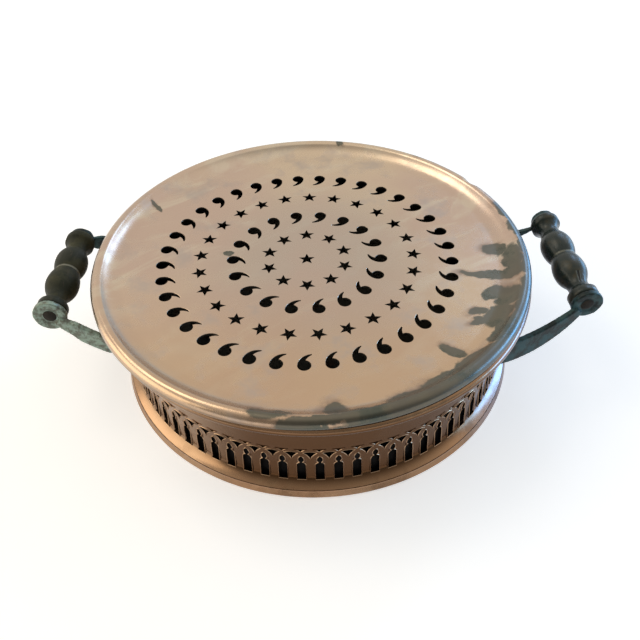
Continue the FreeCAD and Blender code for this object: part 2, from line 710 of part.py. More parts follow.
# Collar under the lid, loose in the drum
COLLAR_RADIUS = "(wall_radius - wall_gauge - collar_play)"
lid_collar = node(turned("lid_collar", [
    (f"{COLLAR_RADIUS} - lid_gauge", "-lid_gauge - collar_depth"),
    (COLLAR_RADIUS, "-lid_gauge - collar_depth"),
    (COLLAR_RADIUS, "-lid_gauge"),
    (f"{COLLAR_RADIUS} - lid_gauge", "-lid_gauge"),
]), "lid_collar")
bind(lid_collar, Placement__Base__x="-lid_shift", Placement__Base__z=FIELD_LEVEL)

# Trivet: a flat ring on short legs that stand on the floor
TRIVET_TOP = f"({GALLERY_FOOT} + trivet_leg_height + trivet_gauge)"
trivet_ring = turned("trivet_ring", [
    ("trivet_radius - trivet_width", f"{TRIVET_TOP} - trivet_gauge"),
    ("trivet_radius", f"{TRIVET_TOP} - trivet_gauge"),
    ("trivet_radius", TRIVET_TOP),
    ("trivet_radius - trivet_width", TRIVET_TOP),
])
trivet_leg = cylinder("trivet_leg", "trivet_leg_radius", "trivet_leg_height + trivet_gauge / 2")
bind(trivet_leg, Placement__Base__x="trivet_radius - trivet_width / 2", Placement__Base__z=GALLERY_FOOT)
trivet_legs = ring_of("trivet_legs", trivet_leg, "trivet_leg_count")
node(fuse("pan_trivet", [trivet_ring, trivet_legs]), "pan_trivet")

# Ember pan: a sloping bowl with a flat flange, and two riveted lifting tabs
PAN_FOOT = f"({TRIVET_TOP} + pan_seat_gap)"
PAN_TOP = f"({PAN_FOOT} + pan_depth)"
pan_blank = turned("pan_blank", [
    ("0", PAN_FOOT),
    ("pan_base_radius", PAN_FOOT),
    ("pan_top_radius", f"{PAN_TOP} - pan_gauge"),
    ("pan_top_radius + pan_flange", f"{PAN_TOP} - pan_gauge"),
    ("pan_top_radius + pan_flange", PAN_TOP),
    ("pan_top_radius - pan_gauge", PAN_TOP),
    ("pan_base_radius - pan_gauge", f"{PAN_FOOT} + pan_gauge"),
    ("0", f"{PAN_FOOT} + pan_gauge"),
])
TAB_IN = "(pan_top_radius + pan_gauge)"
TAB_END = "(pan_top_radius + pan_flange + tab_reach)"
tab = prism("tab", [[
    (TAB_IN, "-tab_width / 2"),
    (f"{TAB_END} - tab_corner", "-tab_width / 2", "tab_corner", LEFT_TURN),
    (TAB_END, f"-tab_width / 2 + tab_corner"),
    (TAB_END, f"tab_width / 2 - tab_corner", "tab_corner", LEFT_TURN),
    (f"{TAB_END} - tab_corner", "tab_width / 2"),
    (TAB_IN, "tab_width / 2"),
]], "tab_gauge", "0")
bind(tab.Base, Placement__Base__z=PAN_TOP)
TAB_RIVET_X = "(pan_top_radius + pan_flange / 2 + pan_gauge / 2)"
TAB_RIVET_TOP = f"({PAN_TOP} + tab_gauge)"
TAB_RIVET_FOOT = f"({PAN_TOP} - pan_gauge)"
tab_rivet = turned("tab_rivet", [
    ("0", f"{TAB_RIVET_FOOT} - rivet_head_rise", RIVET_DOME, LEFT_TURN),
    ("rivet_head_radius", TAB_RIVET_FOOT),
    ("rivet_radius", TAB_RIVET_FOOT),
    ("rivet_radius", TAB_RIVET_TOP),
    ("rivet_head_radius", TAB_RIVET_TOP, RIVET_DOME, LEFT_TURN),
    ("0", f"{TAB_RIVET_TOP} + rivet_head_rise"),
])
bind(tab_rivet, Placement__Base__x=TAB_RIVET_X)
tab_bore = cylinder("tab_bore", "rivet_radius + rod_fit", "tab_gauge + 2 * overrun")
bind(tab_bore, Placement__Base__x=TAB_RIVET_X, Placement__Base__z=f"{PAN_TOP} - overrun")
doc.recompute()
tab_swing = number(f"atan(tab_rivet_spread / {TAB_RIVET_X}) / 1deg")
tab_angles = [base + swing for base in (0, 180) for swing in (-tab_swing, tab_swing)]
tab_bores = copies_at("tab_bores", tab_bore.Shape, tab_angles)
node(copies_at("pan_rivets", tab_rivet.Shape, tab_angles), "pan_rivets")
node(cut("ember_pan", pan_blank, tab_bores), "ember_pan")
right_tab = node(cut("pan_right_tab", tab, tab_bores), "pan_right_tab")
node(mirrored("pan_left_tab", right_tab, along), "pan_left_tab")

doc.recompute()

# Every object is sound before anything is written
for thing in doc.Objects:
    if {"Invalid", "Error"} & set(thing.State):
        raise RuntimeError(f"{thing.Label} failed: {thing.State}")
for thing in finished:
    if thing.Shape.isNull() or not thing.Shape.isValid():
        raise RuntimeError(f"{thing.Label} has no valid shape")

os.makedirs("parts", exist_ok=True)
for thing in finished:
    thing.Shape.exportStep(f"parts/{thing.Label}.step")
    print(thing.Label, len(thing.Shape.Solids), "solid(s)", round(thing.Shape.Volume), "mm3")
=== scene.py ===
import json
import math
import bmesh
import bpy
from mathutils import Matrix, Vector


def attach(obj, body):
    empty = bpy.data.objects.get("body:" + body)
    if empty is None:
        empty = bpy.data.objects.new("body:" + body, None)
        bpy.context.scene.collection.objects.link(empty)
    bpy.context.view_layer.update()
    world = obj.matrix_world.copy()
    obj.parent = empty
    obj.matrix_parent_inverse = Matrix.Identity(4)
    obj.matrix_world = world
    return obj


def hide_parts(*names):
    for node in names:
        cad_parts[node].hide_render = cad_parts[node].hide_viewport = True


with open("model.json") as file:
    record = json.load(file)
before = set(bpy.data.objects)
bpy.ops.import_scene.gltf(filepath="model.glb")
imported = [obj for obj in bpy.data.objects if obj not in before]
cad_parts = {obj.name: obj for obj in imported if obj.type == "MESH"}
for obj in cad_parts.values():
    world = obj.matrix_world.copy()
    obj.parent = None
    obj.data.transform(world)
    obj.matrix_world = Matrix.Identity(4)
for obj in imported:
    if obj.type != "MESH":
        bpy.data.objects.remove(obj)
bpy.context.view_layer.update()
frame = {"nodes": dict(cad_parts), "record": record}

nodes = frame["nodes"]
scene = bpy.context.scene
scene.view_settings.view_transform = "Standard"
mm = 0.001
leftTurn = 1
rightTurn = -1
weld = 0.002 * mm

# camera

photoCamera = {
    "place": (2.8, -417.5, 422.5), "tilt": 46.15, "roll": -1.74,
    "lens": 42.086, "sensor": 36, "near": 0.01,
}


def placeCamera():
    camera = bpy.data.cameras.new("photoCamera")
    camera.lens = photoCamera["lens"]
    camera.sensor_width = photoCamera["sensor"]
    camera.clip_start = photoCamera["near"]
    holder = bpy.data.objects.new("photoCamera", camera)
    scene.collection.objects.link(holder)
    holder.matrix_world = (Matrix.Translation(Vector(photoCamera["place"]) * mm)
                           @ Matrix.Rotation(math.radians(photoCamera["tilt"]), 4, "X")
                           @ Matrix.Rotation(math.radians(photoCamera["roll"]), 4, "Z"))
    scene.camera = holder


placeCamera()
print("camera placed")


# helpers for node trees

def addNode(tree, kind, values=None, **settings):
    node = tree.nodes.new(kind)
    for key, value in settings.items():
        setattr(node, key, value)
    for key, value in (values or {}).items():
        if isinstance(value, bpy.types.NodeSocket):
            tree.links.new(value, node.inputs[key])
        else:
            node.inputs[key].default_value = value
    return node


def wire(tree, source, target):
    tree.links.new(source, target)


def mathNode(tree, operation, first, second=None):
    values = {0: first} if second is None else {0: first, 1: second}
    return addNode(tree, "ShaderNodeMath", values, operation=operation).outputs[0]


def times(tree, first, second):
    return mathNode(tree, "MULTIPLY", first, second)


def vectorMath(tree, operation, *vectors):
    return addNode(tree, "ShaderNodeVectorMath", dict(enumerate(vectors)), operation=operation).outputs


def span(tree, value, low, high, outLow=0.0, outHigh=1.0):
    return addNode(tree, "ShaderNodeMapRange", {0: value, 1: low, 2: high, 3: outLow, 4: outHigh},
                   interpolation_type="SMOOTHSTEP").outputs[0]


def noise(tree, coords, scale, detail=3.0, roughness=0.55, distortion=0.0):
    return addNode(tree, "ShaderNodeTexNoise", {"Vector": coords, "Scale": scale, "Detail": detail,
                                                "Roughness": roughness, "Distortion": distortion})


def blend(tree, factor, first, second):
    values = {}
    for slot, value in ((0, factor), (6, first), (7, second)):
        values[slot] = (*value, 1.0) if isinstance(value, tuple) else value
    return addNode(tree, "ShaderNodeMix", values, data_type="RGBA").outputs[2]


def stretched(tree, coords, place=(0, 0, 0), turn=0.0, size=(1, 1, 1)):
    return addNode(tree, "ShaderNodeMapping", {"Vector": coords, "Location": place, "Scale": size,
                                               "Rotation": (0, 0, math.radians(turn))},
                   vector_type="TEXTURE").outputs[0]


def newMaterial(name):
    material = bpy.data.materials.new(name)
    material.use_nodes = True
    tree = material.node_tree
    tree.nodes.clear()
    shader = addNode(tree, "ShaderNodeBsdfPrincipled")
    output = addNode(tree, "ShaderNodeOutputMaterial")
    wire(tree, shader.outputs[0], output.inputs["Surface"])
    coords = addNode(tree, "ShaderNodeTexCoord").outputs["Object"]
    return material, tree, shader, coords


def bumpInto(tree, shader, height, strength, depth):
    bump = addNode(tree, "ShaderNodeBump", {"Height": height, "Strength": strength, "Distance": depth})
    wire(tree, bump.outputs[0], shader.inputs["Normal"])


# stains: each is an ellipse with a ragged edge, (x, y, half length, half width, turn) in mm and degrees
def rimStains(rims):
    stains = []
    for rim in rims:
        radius = rim["radius"]
        for azimuth in range(rim["first"], rim["last"], rim["step"]):
            angle = math.radians(azimuth)
            stains.append((radius * math.cos(angle), radius * math.sin(angle), rim["half"], rim["width"], azimuth + 90))
    return stains


# distance to the nearest stain, 1 on its edge
def stainDistance(tree, coords, stains, ragged):
    warp = noise(tree, coords, *ragged["noise"]).outputs["Color"]
    shifted = vectorMath(tree, "MULTIPLY_ADD", warp, (ragged["reach"] * mm,) * 3, coords)[0]
    nearest = None
    offset = ragged["reach"] / 2
    tall = 10  # metres, so that height hardly counts
    for x, y, half, width, turn in stains:
        local = stretched(tree, shifted, ((x + offset) * mm, (y + offset) * mm, 0), turn,
                          (half * mm, width * mm, tall))
        reach = vectorMath(tree, "LENGTH", local)["Value"]
        nearest = reach if nearest is None else mathNode(tree, "MINIMUM", nearest, reach)
    return nearest


# finishes: a noise is (scale, detail, roughness, distortion), a range is (from, to) or (from, to, low, high)

copperFinish = {
    "lid": {"pink": (0.53, 0.4, 0.325), "tan": (0.59, 0.465, 0.345), "film": (0.38, 0.335, 0.315),
            "pale": (0.62, 0.54, 0.43), "rough": 0.21},
    "drum": {"pink": (0.38, 0.22, 0.125), "tan": (0.31, 0.185, 0.105), "film": (0.12, 0.062, 0.032),
             "pale": (0.42, 0.27, 0.16), "rough": 0.19},
    # edge: a paler copper for the arch beads, bead copper with a painted highlight along each rib
    "edge": {"pink": (0.46, 0.3, 0.19), "tan": (0.4, 0.26, 0.17), "film": (0.2, 0.12, 0.07),
             "pale": (0.5, 0.34, 0.22), "rough": 0.3},
}
copperPattern = {
    "broad": (9.0, 3.0, 0.5), "cloudy": (38.0, 5.0, 0.62), "fine": (420.0, 3.0, 0.6), "waves": (26.0, 2.0, 0.5),
    "wiped": (30.0, 4.0, 0.6, 1.2), "wipeTurn": 35, "wipeSize": (2.2, 1, 1),
    "tanRange": (0.36, 0.64), "paleRange": (0.5, 0.68, 0.0, 0.6), "filmRange": (0.48, 0.74, 0.0, 0.6),
    "dullRange": (0.3, 0.75), "brighter": 0.05, "duller": 0.1, "grit": 0.06,
    "scratch": 0.04, "relief": (0.35, 0.0016),
}
# drum walls: between the heights low and high the copper is painted darker brown, a painted dark reflection on the
# upright walls
drumWall = {
    "brown": (0.105, 0.05, 0.022), "low": (0.007, 0.012), "high": (0.0785, 0.0765),
    "sideLightAndTint": [((0.3, 0.26, 0.29), (0.09, 0.135)), ((0.46, 0.31, 0.2), (-0.035, -0.115))],
    "patchy": (0.3, 0.55, 0.25, 0.8),
}
lidField = {
    "amber": (0.5, 0.34, 0.22), "front": (0.0, -0.12, 0.0, 0.7),
    "centre": (0.125, 0.03, 0.0, 0.55), "centrePatchy": (0.2, 0.6),
    # painted shade: darker brown on the faces of the rolled edge that look down
    "rollUndersideShade": (0.17, 0.105, 0.062), "shadeFacingRange": (0.3, -0.2), "shadeReachRange": (0.14, 0.148, 0.0, 0.85),
    "pierced": (0.128, 0.124),
}
# soot-black on the lid's underside, on the hole walls and inside the drum; on the hole walls it is also painted shade
sootAndShade = {
    "colour": (0.026, 0.024, 0.019), "rough": 0.5,
    "lidBelow": (-0.3, -0.6), "lidHoles": (0.6, 0.3), "drumInside": (-0.1, -0.3), "drumBelow": (0.063, 0.061),
}
lidStains = {
    "tarnish": (0.078, 0.09, 0.076), "edge": (1.12, 0.86), "thin": (0.3, 0.6, 0.98, 0.78), "rough": 0.06,
    # on the rolled edge at the right the tarnish is painted blue, a painted reflection of the blue window
    "rolled": (0.075, 0.125, 0.155), "rollFrom": (0.142, 0.15), "rollSide": (0.06, 0.13),
    "fringe": (0.24, 0.15, 0.105), "fringeEdge": (1.7, 1.0), "fringePatchy": (0.42, 0.62, 0.0, 0.6),
    "ragged": {"noise": (55.0, 4.0, 0.6), "reach": 14.0},
    "rims": [
        {"first": 56, "last": 16, "step": -8, "radius": 154.5, "half": 13, "width": 4},
        {"first": 16, "last": -84, "step": -8, "radius": 151, "half": 15, "width": 6.5},
    ],
    "patches": [
        (128, 5, 9, 7, 10), (139, -8, 7, 14, 0), (118, -22, 16, 4, -4), (134, -24, 14, 6, 10),
        (121, -42, 10, 6, 30), (131, -48, 12, 9, 60), (108, -60, 8, 4, 10), (120, -66, 14, 8, 40),
        (106, -70, 7, 4, 20), (86, -95, 9, 4.5, -25), (118, -82, 14, 6, 50), (98, -104, 16, 6, 35),
        (78, -121, 22, 8, 28), (58, -136, 18, 9, 15), (10, -142, 9, 8, 0), (38, -145, 14, 5, 5),
        (-28, -145, 14, 5, -8), (-2, -152.5, 24, 3, 2), (-122, 70, 7, 2, -60), (25, 150, 4, 7, 0),
        (-61.5, 8.5, 5, 2.6, 8),
    ],
}


# how far each face looks out from the drum's axis, how far it looks up, and its distance from the axis
def facings(tree, coords):
    flat = vectorMath(tree, "MULTIPLY", coords, (1, 1, 0))[0]
    outward = vectorMath(tree, "NORMALIZE", flat)[0]
    normal = addNode(tree, "ShaderNodeNewGeometry").outputs["True Normal"]
    out = vectorMath(tree, "DOT_PRODUCT", outward, normal)["Value"]
    up = addNode(tree, "ShaderNodeSeparateXYZ", {0: normal}).outputs["Z"]
    return out, up, vectorMath(tree, "LENGTH", flat)["Value"]


def copper(name, finish, stains=None, wall=None):
    material, tree, shader, coords = newMaterial(name)
    look = copperPattern
    broad = noise(tree, coords, *look["broad"]).outputs["Fac"]
    cloudy = noise(tree, coords, *look["cloudy"]).outputs["Fac"]
    fine = noise(tree, coords, *look["fine"]).outputs["Fac"]
    colour = blend(tree, span(tree, broad, *look["tanRange"]), finish["pink"], finish["tan"])
    streaks = stretched(tree, coords, turn=look["wipeTurn"], size=look["wipeSize"])
    wiped = noise(tree, streaks, *look["wiped"]).outputs["Fac"]
    colour = blend(tree, span(tree, wiped, *look["paleRange"]), colour, finish["pale"])
    film = span(tree, cloudy, *look["filmRange"])
    out, up, distance = facings(tree, coords)
    place = addNode(tree, "ShaderNodeSeparateXYZ", {0: coords}).outputs
    if stains:
        colour = blend(tree, span(tree, place["Y"], *lidField["front"]), colour, lidField["amber"])
        centre = times(tree, span(tree, distance, *lidField["centre"]), span(tree, broad, *lidField["centrePatchy"]))
        film = mathNode(tree, "MAXIMUM", film, centre)
    if wall:
        # painted shade: the upright walls between the skirt and the cove are darkened brown, standing in for the dark
        # reflection they show
        wallReflectionShade = times(tree, span(tree, place["Z"], *wall["low"]), span(tree, place["Z"], *wall["high"]))
        colour = blend(tree, wallReflectionShade, colour, wall["brown"])
        # painted side light: the far left is painted a lighter gold as a highlight; the far right is a grey lavender
        # heat tint with a painted blue reflection on it
        for tint, reach in wall["sideLightAndTint"]:
            aside = times(tree, span(tree, place["X"], *reach), span(tree, broad, *wall["patchy"]))
            colour = blend(tree, aside, colour, tint)
    colour = blend(tree, film, colour, finish["film"])
    dull = span(tree, cloudy, *look["dullRange"], finish["rough"] - look["brighter"], finish["rough"] + look["duller"])
    rough = mathNode(tree, "ADD", dull, times(tree, fine, look["grit"]))
    if stains:
        # painted shade: the faces of the lid's rolled edge that look down are darkened brown
        under = times(tree, span(tree, up, *lidField["shadeFacingRange"]), span(tree, distance, *lidField["shadeReachRange"]))
        colour = blend(tree, under, colour, lidField["rollUndersideShade"])
        nearest = stainDistance(tree, coords, stains["patches"] + rimStains(stains["rims"]), stains["ragged"])
        fringe = times(tree, span(tree, nearest, *stains["fringeEdge"]), span(tree, cloudy, *stains["fringePatchy"]))
        colour = blend(tree, fringe, colour, stains["fringe"])
        mask = times(tree, span(tree, nearest, *stains["edge"]), span(tree, cloudy, *stains["thin"]))
        # painted reflection: tarnish on the rolled edge at the right turns blue for the blue window it reflects there
        rolled = times(tree, span(tree, distance, *stains["rollFrom"]), span(tree, place["X"], *stains["rollSide"]))
        colour = blend(tree, mask, colour, blend(tree, rolled, stains["tarnish"], stains["rolled"]))
        rough = mathNode(tree, "ADD", rough, times(tree, mask, stains["rough"]))
        # the walls of the lid's holes are soot-black, and painted shade so that the holes look dark
        holes = times(tree, span(tree, up, *sootAndShade["lidHoles"]), span(tree, distance, *lidField["pierced"]))
        sooty = mathNode(tree, "MAXIMUM", span(tree, up, *sootAndShade["lidBelow"]), holes)
    else:
        sooty = times(tree, span(tree, out, *sootAndShade["drumInside"]), span(tree, place["Z"], *sootAndShade["drumBelow"]))
    colour = blend(tree, sooty, colour, sootAndShade["colour"])
    wire(tree, colour, shader.inputs["Base Color"])
    wire(tree, mathNode(tree, "ADD", rough, times(tree, sooty, sootAndShade["rough"])), shader.inputs["Roughness"])
    wire(tree, mathNode(tree, "SUBTRACT", 1.0, sooty), shader.inputs["Metallic"])
    waves = noise(tree, coords, *look["waves"]).outputs["Fac"]
    bumpInto(tree, shader, mathNode(tree, "ADD", waves, times(tree, fine, look["scratch"])), *look["relief"])
    return material


castFinish = {
    "dark": (0.014, 0.02, 0.02), "green": (0.03, 0.08, 0.085), "cloudy": (90.0, 5.0, 0.65),
    "greenRange": (0.4, 0.62), "rough": (0.36, 0.52), "metal": (0.6, 0.15), "sheen": 0.35,
    "bloom": (0.3, 0.4, 0.34), "bare": (0.15, 0.16, 0.13), "patchy": (260.0, 4.0, 0.7),
    "crustRange": (0.4, 0.6), "bloomRange": (0.3, 0.55, 0.55, 0.98), "bloomSide": (0.0, -0.03),
    "fine": (600.0, 3.0, 0.6), "grit": 0.3, "relief": (0.5, 0.0006),
}


# dark green bronze, with a pale bloom of verdigris on the left front arm
def bronze(name):
    material, tree, shader, coords = newMaterial(name)
    look = castFinish
    cloudy = noise(tree, coords, *look["cloudy"]).outputs["Fac"]
    fine = noise(tree, coords, *look["fine"]).outputs["Fac"]
    green = span(tree, cloudy, *look["greenRange"])
    colour = blend(tree, green, look["dark"], look["green"])
    place = addNode(tree, "ShaderNodeSeparateXYZ", {0: coords}).outputs
    aside = times(tree, span(tree, place["X"], *look["bloomSide"]), span(tree, place["Y"], *look["bloomSide"]))
    patchy = noise(tree, coords, *look["patchy"]).outputs["Fac"]
    crust = blend(tree, span(tree, patchy, *look["crustRange"]), look["bare"], look["bloom"])
    bloom = times(tree, aside, span(tree, cloudy, *look["bloomRange"]))
    wire(tree, blend(tree, bloom, colour, crust), shader.inputs["Base Color"])
    wire(tree, span(tree, green, 0.0, 1.0, *look["rough"]), shader.inputs["Roughness"])
    wire(tree, span(tree, green, 0.0, 1.0, *look["metal"]), shader.inputs["Metallic"])
    shader.inputs["Specular IOR Level"].default_value = look["sheen"]
    bumpInto(tree, shader, mathNode(tree, "ADD", cloudy, times(tree, fine, look["grit"])), *look["relief"])
    return material


gripFinish = {
    "left": {"dark": (0.016, 0.019, 0.01), "worn": (0.05, 0.05, 0.026), "rough": (0.5, 0.66), "sheen": 0.22},
    "right": {"dark": (0.008, 0.018, 0.016), "worn": (0.045, 0.038, 0.018), "rough": (0.24, 0.4), "sheen": 0.4},
}
gripPattern = {
    "grain": (420.0, 4.0, 0.6, 0.6), "grainSize": (1, 9, 1), "grainRange": (0.55, 0.8, 0.0, 0.5),
    "brown": (0.09, 0.07, 0.05), "worn": (60.0, 4.0, 0.6), "wornRange": (0.45, 0.66), "roughRange": (0.3, 0.7),
    "groove": (1.3 * mm, 0.4 * mm), "rubbed": (0.24, 0.24, 0.19), "rubbedRange": (0.35, 0.55),
    "relief": (0.35, 0.0005),
}


def gripWood(name, finish, crack=None):
    material, tree, shader, coords = newMaterial(name)
    look = gripPattern
    along = addNode(tree, "ShaderNodeAttribute", attribute_name="along").outputs["Fac"]
    grain = noise(tree, stretched(tree, coords, size=look["grainSize"]), *look["grain"]).outputs["Fac"]
    worn = noise(tree, coords, *look["worn"]).outputs["Fac"]
    colour = blend(tree, span(tree, worn, *look["wornRange"]), finish["dark"], finish["worn"])
    colour = blend(tree, span(tree, grain, *look["grainRange"]), colour, look["brown"])
    groove = span(tree, mathNode(tree, "ABSOLUTE", along), *look["groove"])
    colour = blend(tree, times(tree, groove, span(tree, worn, *look["rubbedRange"])), colour, look["rubbed"])
    height = grain
    if crack:
        around = addNode(tree, "ShaderNodeAttribute", attribute_name="around").outputs["Fac"]
        wander = times(tree, mathNode(tree, "SUBTRACT", worn, 0.5), crack["wander"])
        off = mathNode(tree, "ADD", mathNode(tree, "SUBTRACT", around, crack["around"]), wander)
        aside = mathNode(tree, "ABSOLUTE", off)
        start, end, fade, half = crack["from"], crack["to"], crack["fade"], crack["half"]
        within = times(tree, span(tree, along, start * mm, (start + fade) * mm),
                       span(tree, along, end * mm, (end - fade) * mm))
        # painted highlight along the crack's lip, then painted shade in its core, since the crack is only a bump
        lip = times(tree, span(tree, aside, half * crack["lipOuter"], half * crack["lipInner"]), within)
        colour = blend(tree, lip, colour, crack["lip"])
        split = times(tree, span(tree, aside, half, half * crack["core"]), within)
        colour = blend(tree, split, colour, crack["dark"])
        height = mathNode(tree, "SUBTRACT", grain, times(tree, split, crack["depth"]))
    wire(tree, colour, shader.inputs["Base Color"])
    wire(tree, span(tree, worn, *look["roughRange"], *finish["rough"]), shader.inputs["Roughness"])
    shader.inputs["Specular IOR Level"].default_value = finish["sheen"]
    bumpInto(tree, shader, height, *look["relief"])
    return material


ironFinish = {
    "pan": {"tint": (0.09, 0.085, 0.07), "scale": (0.1, 0.06, 0.04), "metal": 0.4},
    "wire": {"tint": (0.12, 0.11, 0.1), "scale": (0.1, 0.06, 0.04), "metal": 0.4},
    "rod": {"tint": (0.04, 0.036, 0.032), "scale": (0.07, 0.06, 0.052), "metal": 0.4},
    "liner": {"tint": (0.006, 0.005, 0.005), "scale": (0.01, 0.007, 0.005), "metal": 0.0},
}
ironPattern = {
    "rust": (70.0, 5.0, 0.65), "scaleRange": (0.52, 0.7), "roughRange": (0.3, 0.7, 0.6, 0.85), "sheen": 0.15,
    "relief": (0.4, 0.0006),
}


def blackIron(name, finish):
    material, tree, shader, coords = newMaterial(name)
    look = ironPattern
    rust = noise(tree, coords, *look["rust"]).outputs["Fac"]
    colour = blend(tree, span(tree, rust, *look["scaleRange"]), finish["tint"], finish["scale"])
    wire(tree, colour, shader.inputs["Base Color"])
    wire(tree, span(tree, rust, *look["roughRange"]), shader.inputs["Roughness"])
    shader.inputs["Metallic"].default_value = finish["metal"]
    shader.inputs["Specular IOR Level"].default_value = look["sheen"]
    bumpInto(tree, shader, rust, *look["relief"])
    return material


finishes = {
    "lid_copper": copper("lidCopper", copperFinish["lid"], stains=lidStains),
    "drum_copper": copper("drumCopper", copperFinish["drum"], wall=drumWall),
    "arm_bronze": bronze("armBronze"),
    "grip_wood": gripWood("gripWood", gripFinish["left"]),
    "pan_iron": blackIron("panIron", ironFinish["pan"]),
    "iron_wire": blackIron("edgeWire", ironFinish["wire"]),
    "rod_iron": blackIron("rodIron", ironFinish["rod"]),
}
# painted shade: the liner inside the drum is near black, soot-black and a dark sheet that makes the lancets look dark
shadeBlackLiner = blackIron("shadeBlackLiner", ironFinish["liner"])
# the arch beads get a paler copper than the drum wall, a painted highlight along each rib
archBeadHighlight = copper("archBeadHighlight", copperFinish["edge"])
for part in frame["record"]["subparts"]:
    piece = nodes[part["node"]]
    piece.data.materials.clear()
    piece.data.materials.append(finishes[part["material_slot"]])
nodes["drum_liner"].data.materials[0] = shadeBlackLiner
print("finishes on", len(nodes), "nodes")


# outlines: corners (x, y) with an optional (radius, turn) for an arc to the next corner, in mm

def arcPoints(start, end, radius, turn, steps):
    chord = end - start
    height = math.sqrt(max(radius ** 2 - chord.length_squared / 4, 0))
    centre = (start + end) / 2 + Vector((-chord.y, chord.x)).normalized() * height * turn
    first = math.atan2(start.y - centre.y, start.x - centre.x)
    sweep = (math.atan2(end.y - centre.y, end.x - centre.x) - first) % (2 * math.pi)
    if turn == rightTurn:
        sweep -= 2 * math.pi
    angles = [first + sweep * step / steps for step in range(steps)]
    return [centre + Vector((math.cos(angle), math.sin(angle))) * radius for angle in angles]


def outline(corners, steps):
    points = []
    for index, corner in enumerate(corners):
        start = Vector(corner[:2])
        end = Vector(corners[(index + 1) % len(corners)][:2])
        points += [start] if len(corner) == 2 else arcPoints(start, end, corner[2], corner[3], steps)
    return points


def loopMesh(name, loops, closed=True):
    points, edges = [], []
    for loop in loops:
        first = len(points)
        points += [Vector(point) * mm for point in loop]
        edges += [(first + index, first + index + 1) for index in range(len(loop) - 1)]
        if closed:
            edges.append((len(points) - 1, first))
    mesh = bpy.data.meshes.new(name)
    mesh.from_pydata(points, edges, [])
    return mesh


# geometry trees

def newTree(name, inputs):
    tree = bpy.data.node_groups.new(name, "GeometryNodeTree")
    tree.interface.new_socket("Geometry", in_out="OUTPUT", socket_type="NodeSocketGeometry")
    tree.interface.new_socket("Geometry", in_out="INPUT", socket_type="NodeSocketGeometry")
    for label, kind in inputs.items():
        tree.interface.new_socket(label, in_out="INPUT", socket_type="NodeSocket" + kind)
    return tree, addNode(tree, "NodeGroupInput").outputs


def endTree(tree, geometry, material):
    real = addNode(tree, "GeometryNodeRealizeInstances", {0: geometry}).outputs[0]
    painted = addNode(tree, "GeometryNodeSetMaterial", {"Geometry": real, "Material": material}).outputs[0]
    wire(tree, painted, addNode(tree, "NodeGroupOutput").inputs[0])


def grow(name, tree, mesh, values):
    piece = bpy.data.objects.new(name, mesh)
    scene.collection.objects.link(piece)
    rule = piece.modifiers.new("rule", "NODES")
    rule.node_group = tree
    sockets = {item.name: item.identifier for item in tree.interface.items_tree
               if item.item_type == "SOCKET" and item.in_out == "INPUT"}
    for label, value in values.items():
        rule[sockets[label]] = value
    piece.update_tag()
    ready = piece.evaluated_get(bpy.context.evaluated_depsgraph_get())
    grown = bpy.data.meshes.new_from_object(ready)
    piece.modifiers.remove(rule)
    piece.data = grown
    grown.name = name
    return piece


def smoothed(piece, angle):
    shape = bmesh.new()
    shape.from_mesh(piece.data)
    bmesh.ops.remove_doubles(shape, verts=shape.verts, dist=weld)
    bmesh.ops.recalc_face_normals(shape, faces=shape.faces)
    shape.to_mesh(piece.data)
    shape.free()
    piece.data.shade_smooth()
    piece.data.set_sharp_from_angle(angle=math.radians(angle))
    return piece


def dress(piece, body, replaced):
    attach(piece, body)
    if replaced:
        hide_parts(*replaced)
    print(piece.name, len(piece.data.polygons), "faces")


# turns a profile, drawn as (radius, 0, height), about the z axis, and notes height and turn on every point
def lathe():
    tree, given = newTree("lathe", {"Segments": "Int", "Wobble": "Float", "Wobble scale": "Float",
                                    "Material": "Material"})
    profile = given["Geometry"]
    count = addNode(tree, "GeometryNodeAttributeDomainSize", {0: profile}).outputs["Point Count"]
    columns = mathNode(tree, "ADD", given["Segments"], 1.0)
    grid = addNode(tree, "GeometryNodeMeshGrid", {
        "Size X": 1.0, "Size Y": 1.0, "Vertices X": columns, "Vertices Y": count,
    }).outputs["Mesh"]
    position = addNode(tree, "GeometryNodeInputPosition").outputs[0]
    flat = addNode(tree, "ShaderNodeSeparateXYZ", {0: position}).outputs
    share = mathNode(tree, "ADD", flat["X"], 0.5)
    turn = times(tree, share, 2 * math.pi)
    row = times(tree, mathNode(tree, "ADD", flat["Y"], 0.5), mathNode(tree, "SUBTRACT", count, 1.0))
    index = mathNode(tree, "ROUND", row)
    sample = addNode(tree, "GeometryNodeSampleIndex", {"Geometry": profile, "Value": position, "Index": index},
                     data_type="FLOAT_VECTOR").outputs[0]
    drawn = addNode(tree, "ShaderNodeSeparateXYZ", {0: sample}).outputs
    across, ahead = mathNode(tree, "COSINE", turn), mathNode(tree, "SINE", turn)

    def around(radius):
        values = {0: times(tree, radius, across), 1: times(tree, radius, ahead), 2: drawn["Z"]}
        return addNode(tree, "ShaderNodeCombineXYZ", values).outputs[0]

    lumps = noise(tree, around(drawn["X"]), given["Wobble scale"], detail=2.0, roughness=0.5).outputs["Fac"]
    swell = times(tree, mathNode(tree, "SUBTRACT", lumps, 0.5), given["Wobble"])
    marked = grid
    for label, value in (("along", drawn["Z"]), ("around", share)):
        marked = addNode(tree, "GeometryNodeStoreNamedAttribute",
                         {"Geometry": marked, "Name": label, "Value": value},
                         data_type="FLOAT", domain="POINT").outputs[0]
    bent = addNode(tree, "GeometryNodeSetPosition", {
        "Geometry": marked, "Position": around(mathNode(tree, "ADD", drawn["X"], swell)),
    }).outputs[0]
    closed = addNode(tree, "GeometryNodeMergeByDistance", {"Geometry": bent, "Distance": weld}).outputs[0]
    endTree(tree, closed, given["Material"])
    return tree


latheTree = lathe()

# lid: a pierced field and its rolled edge

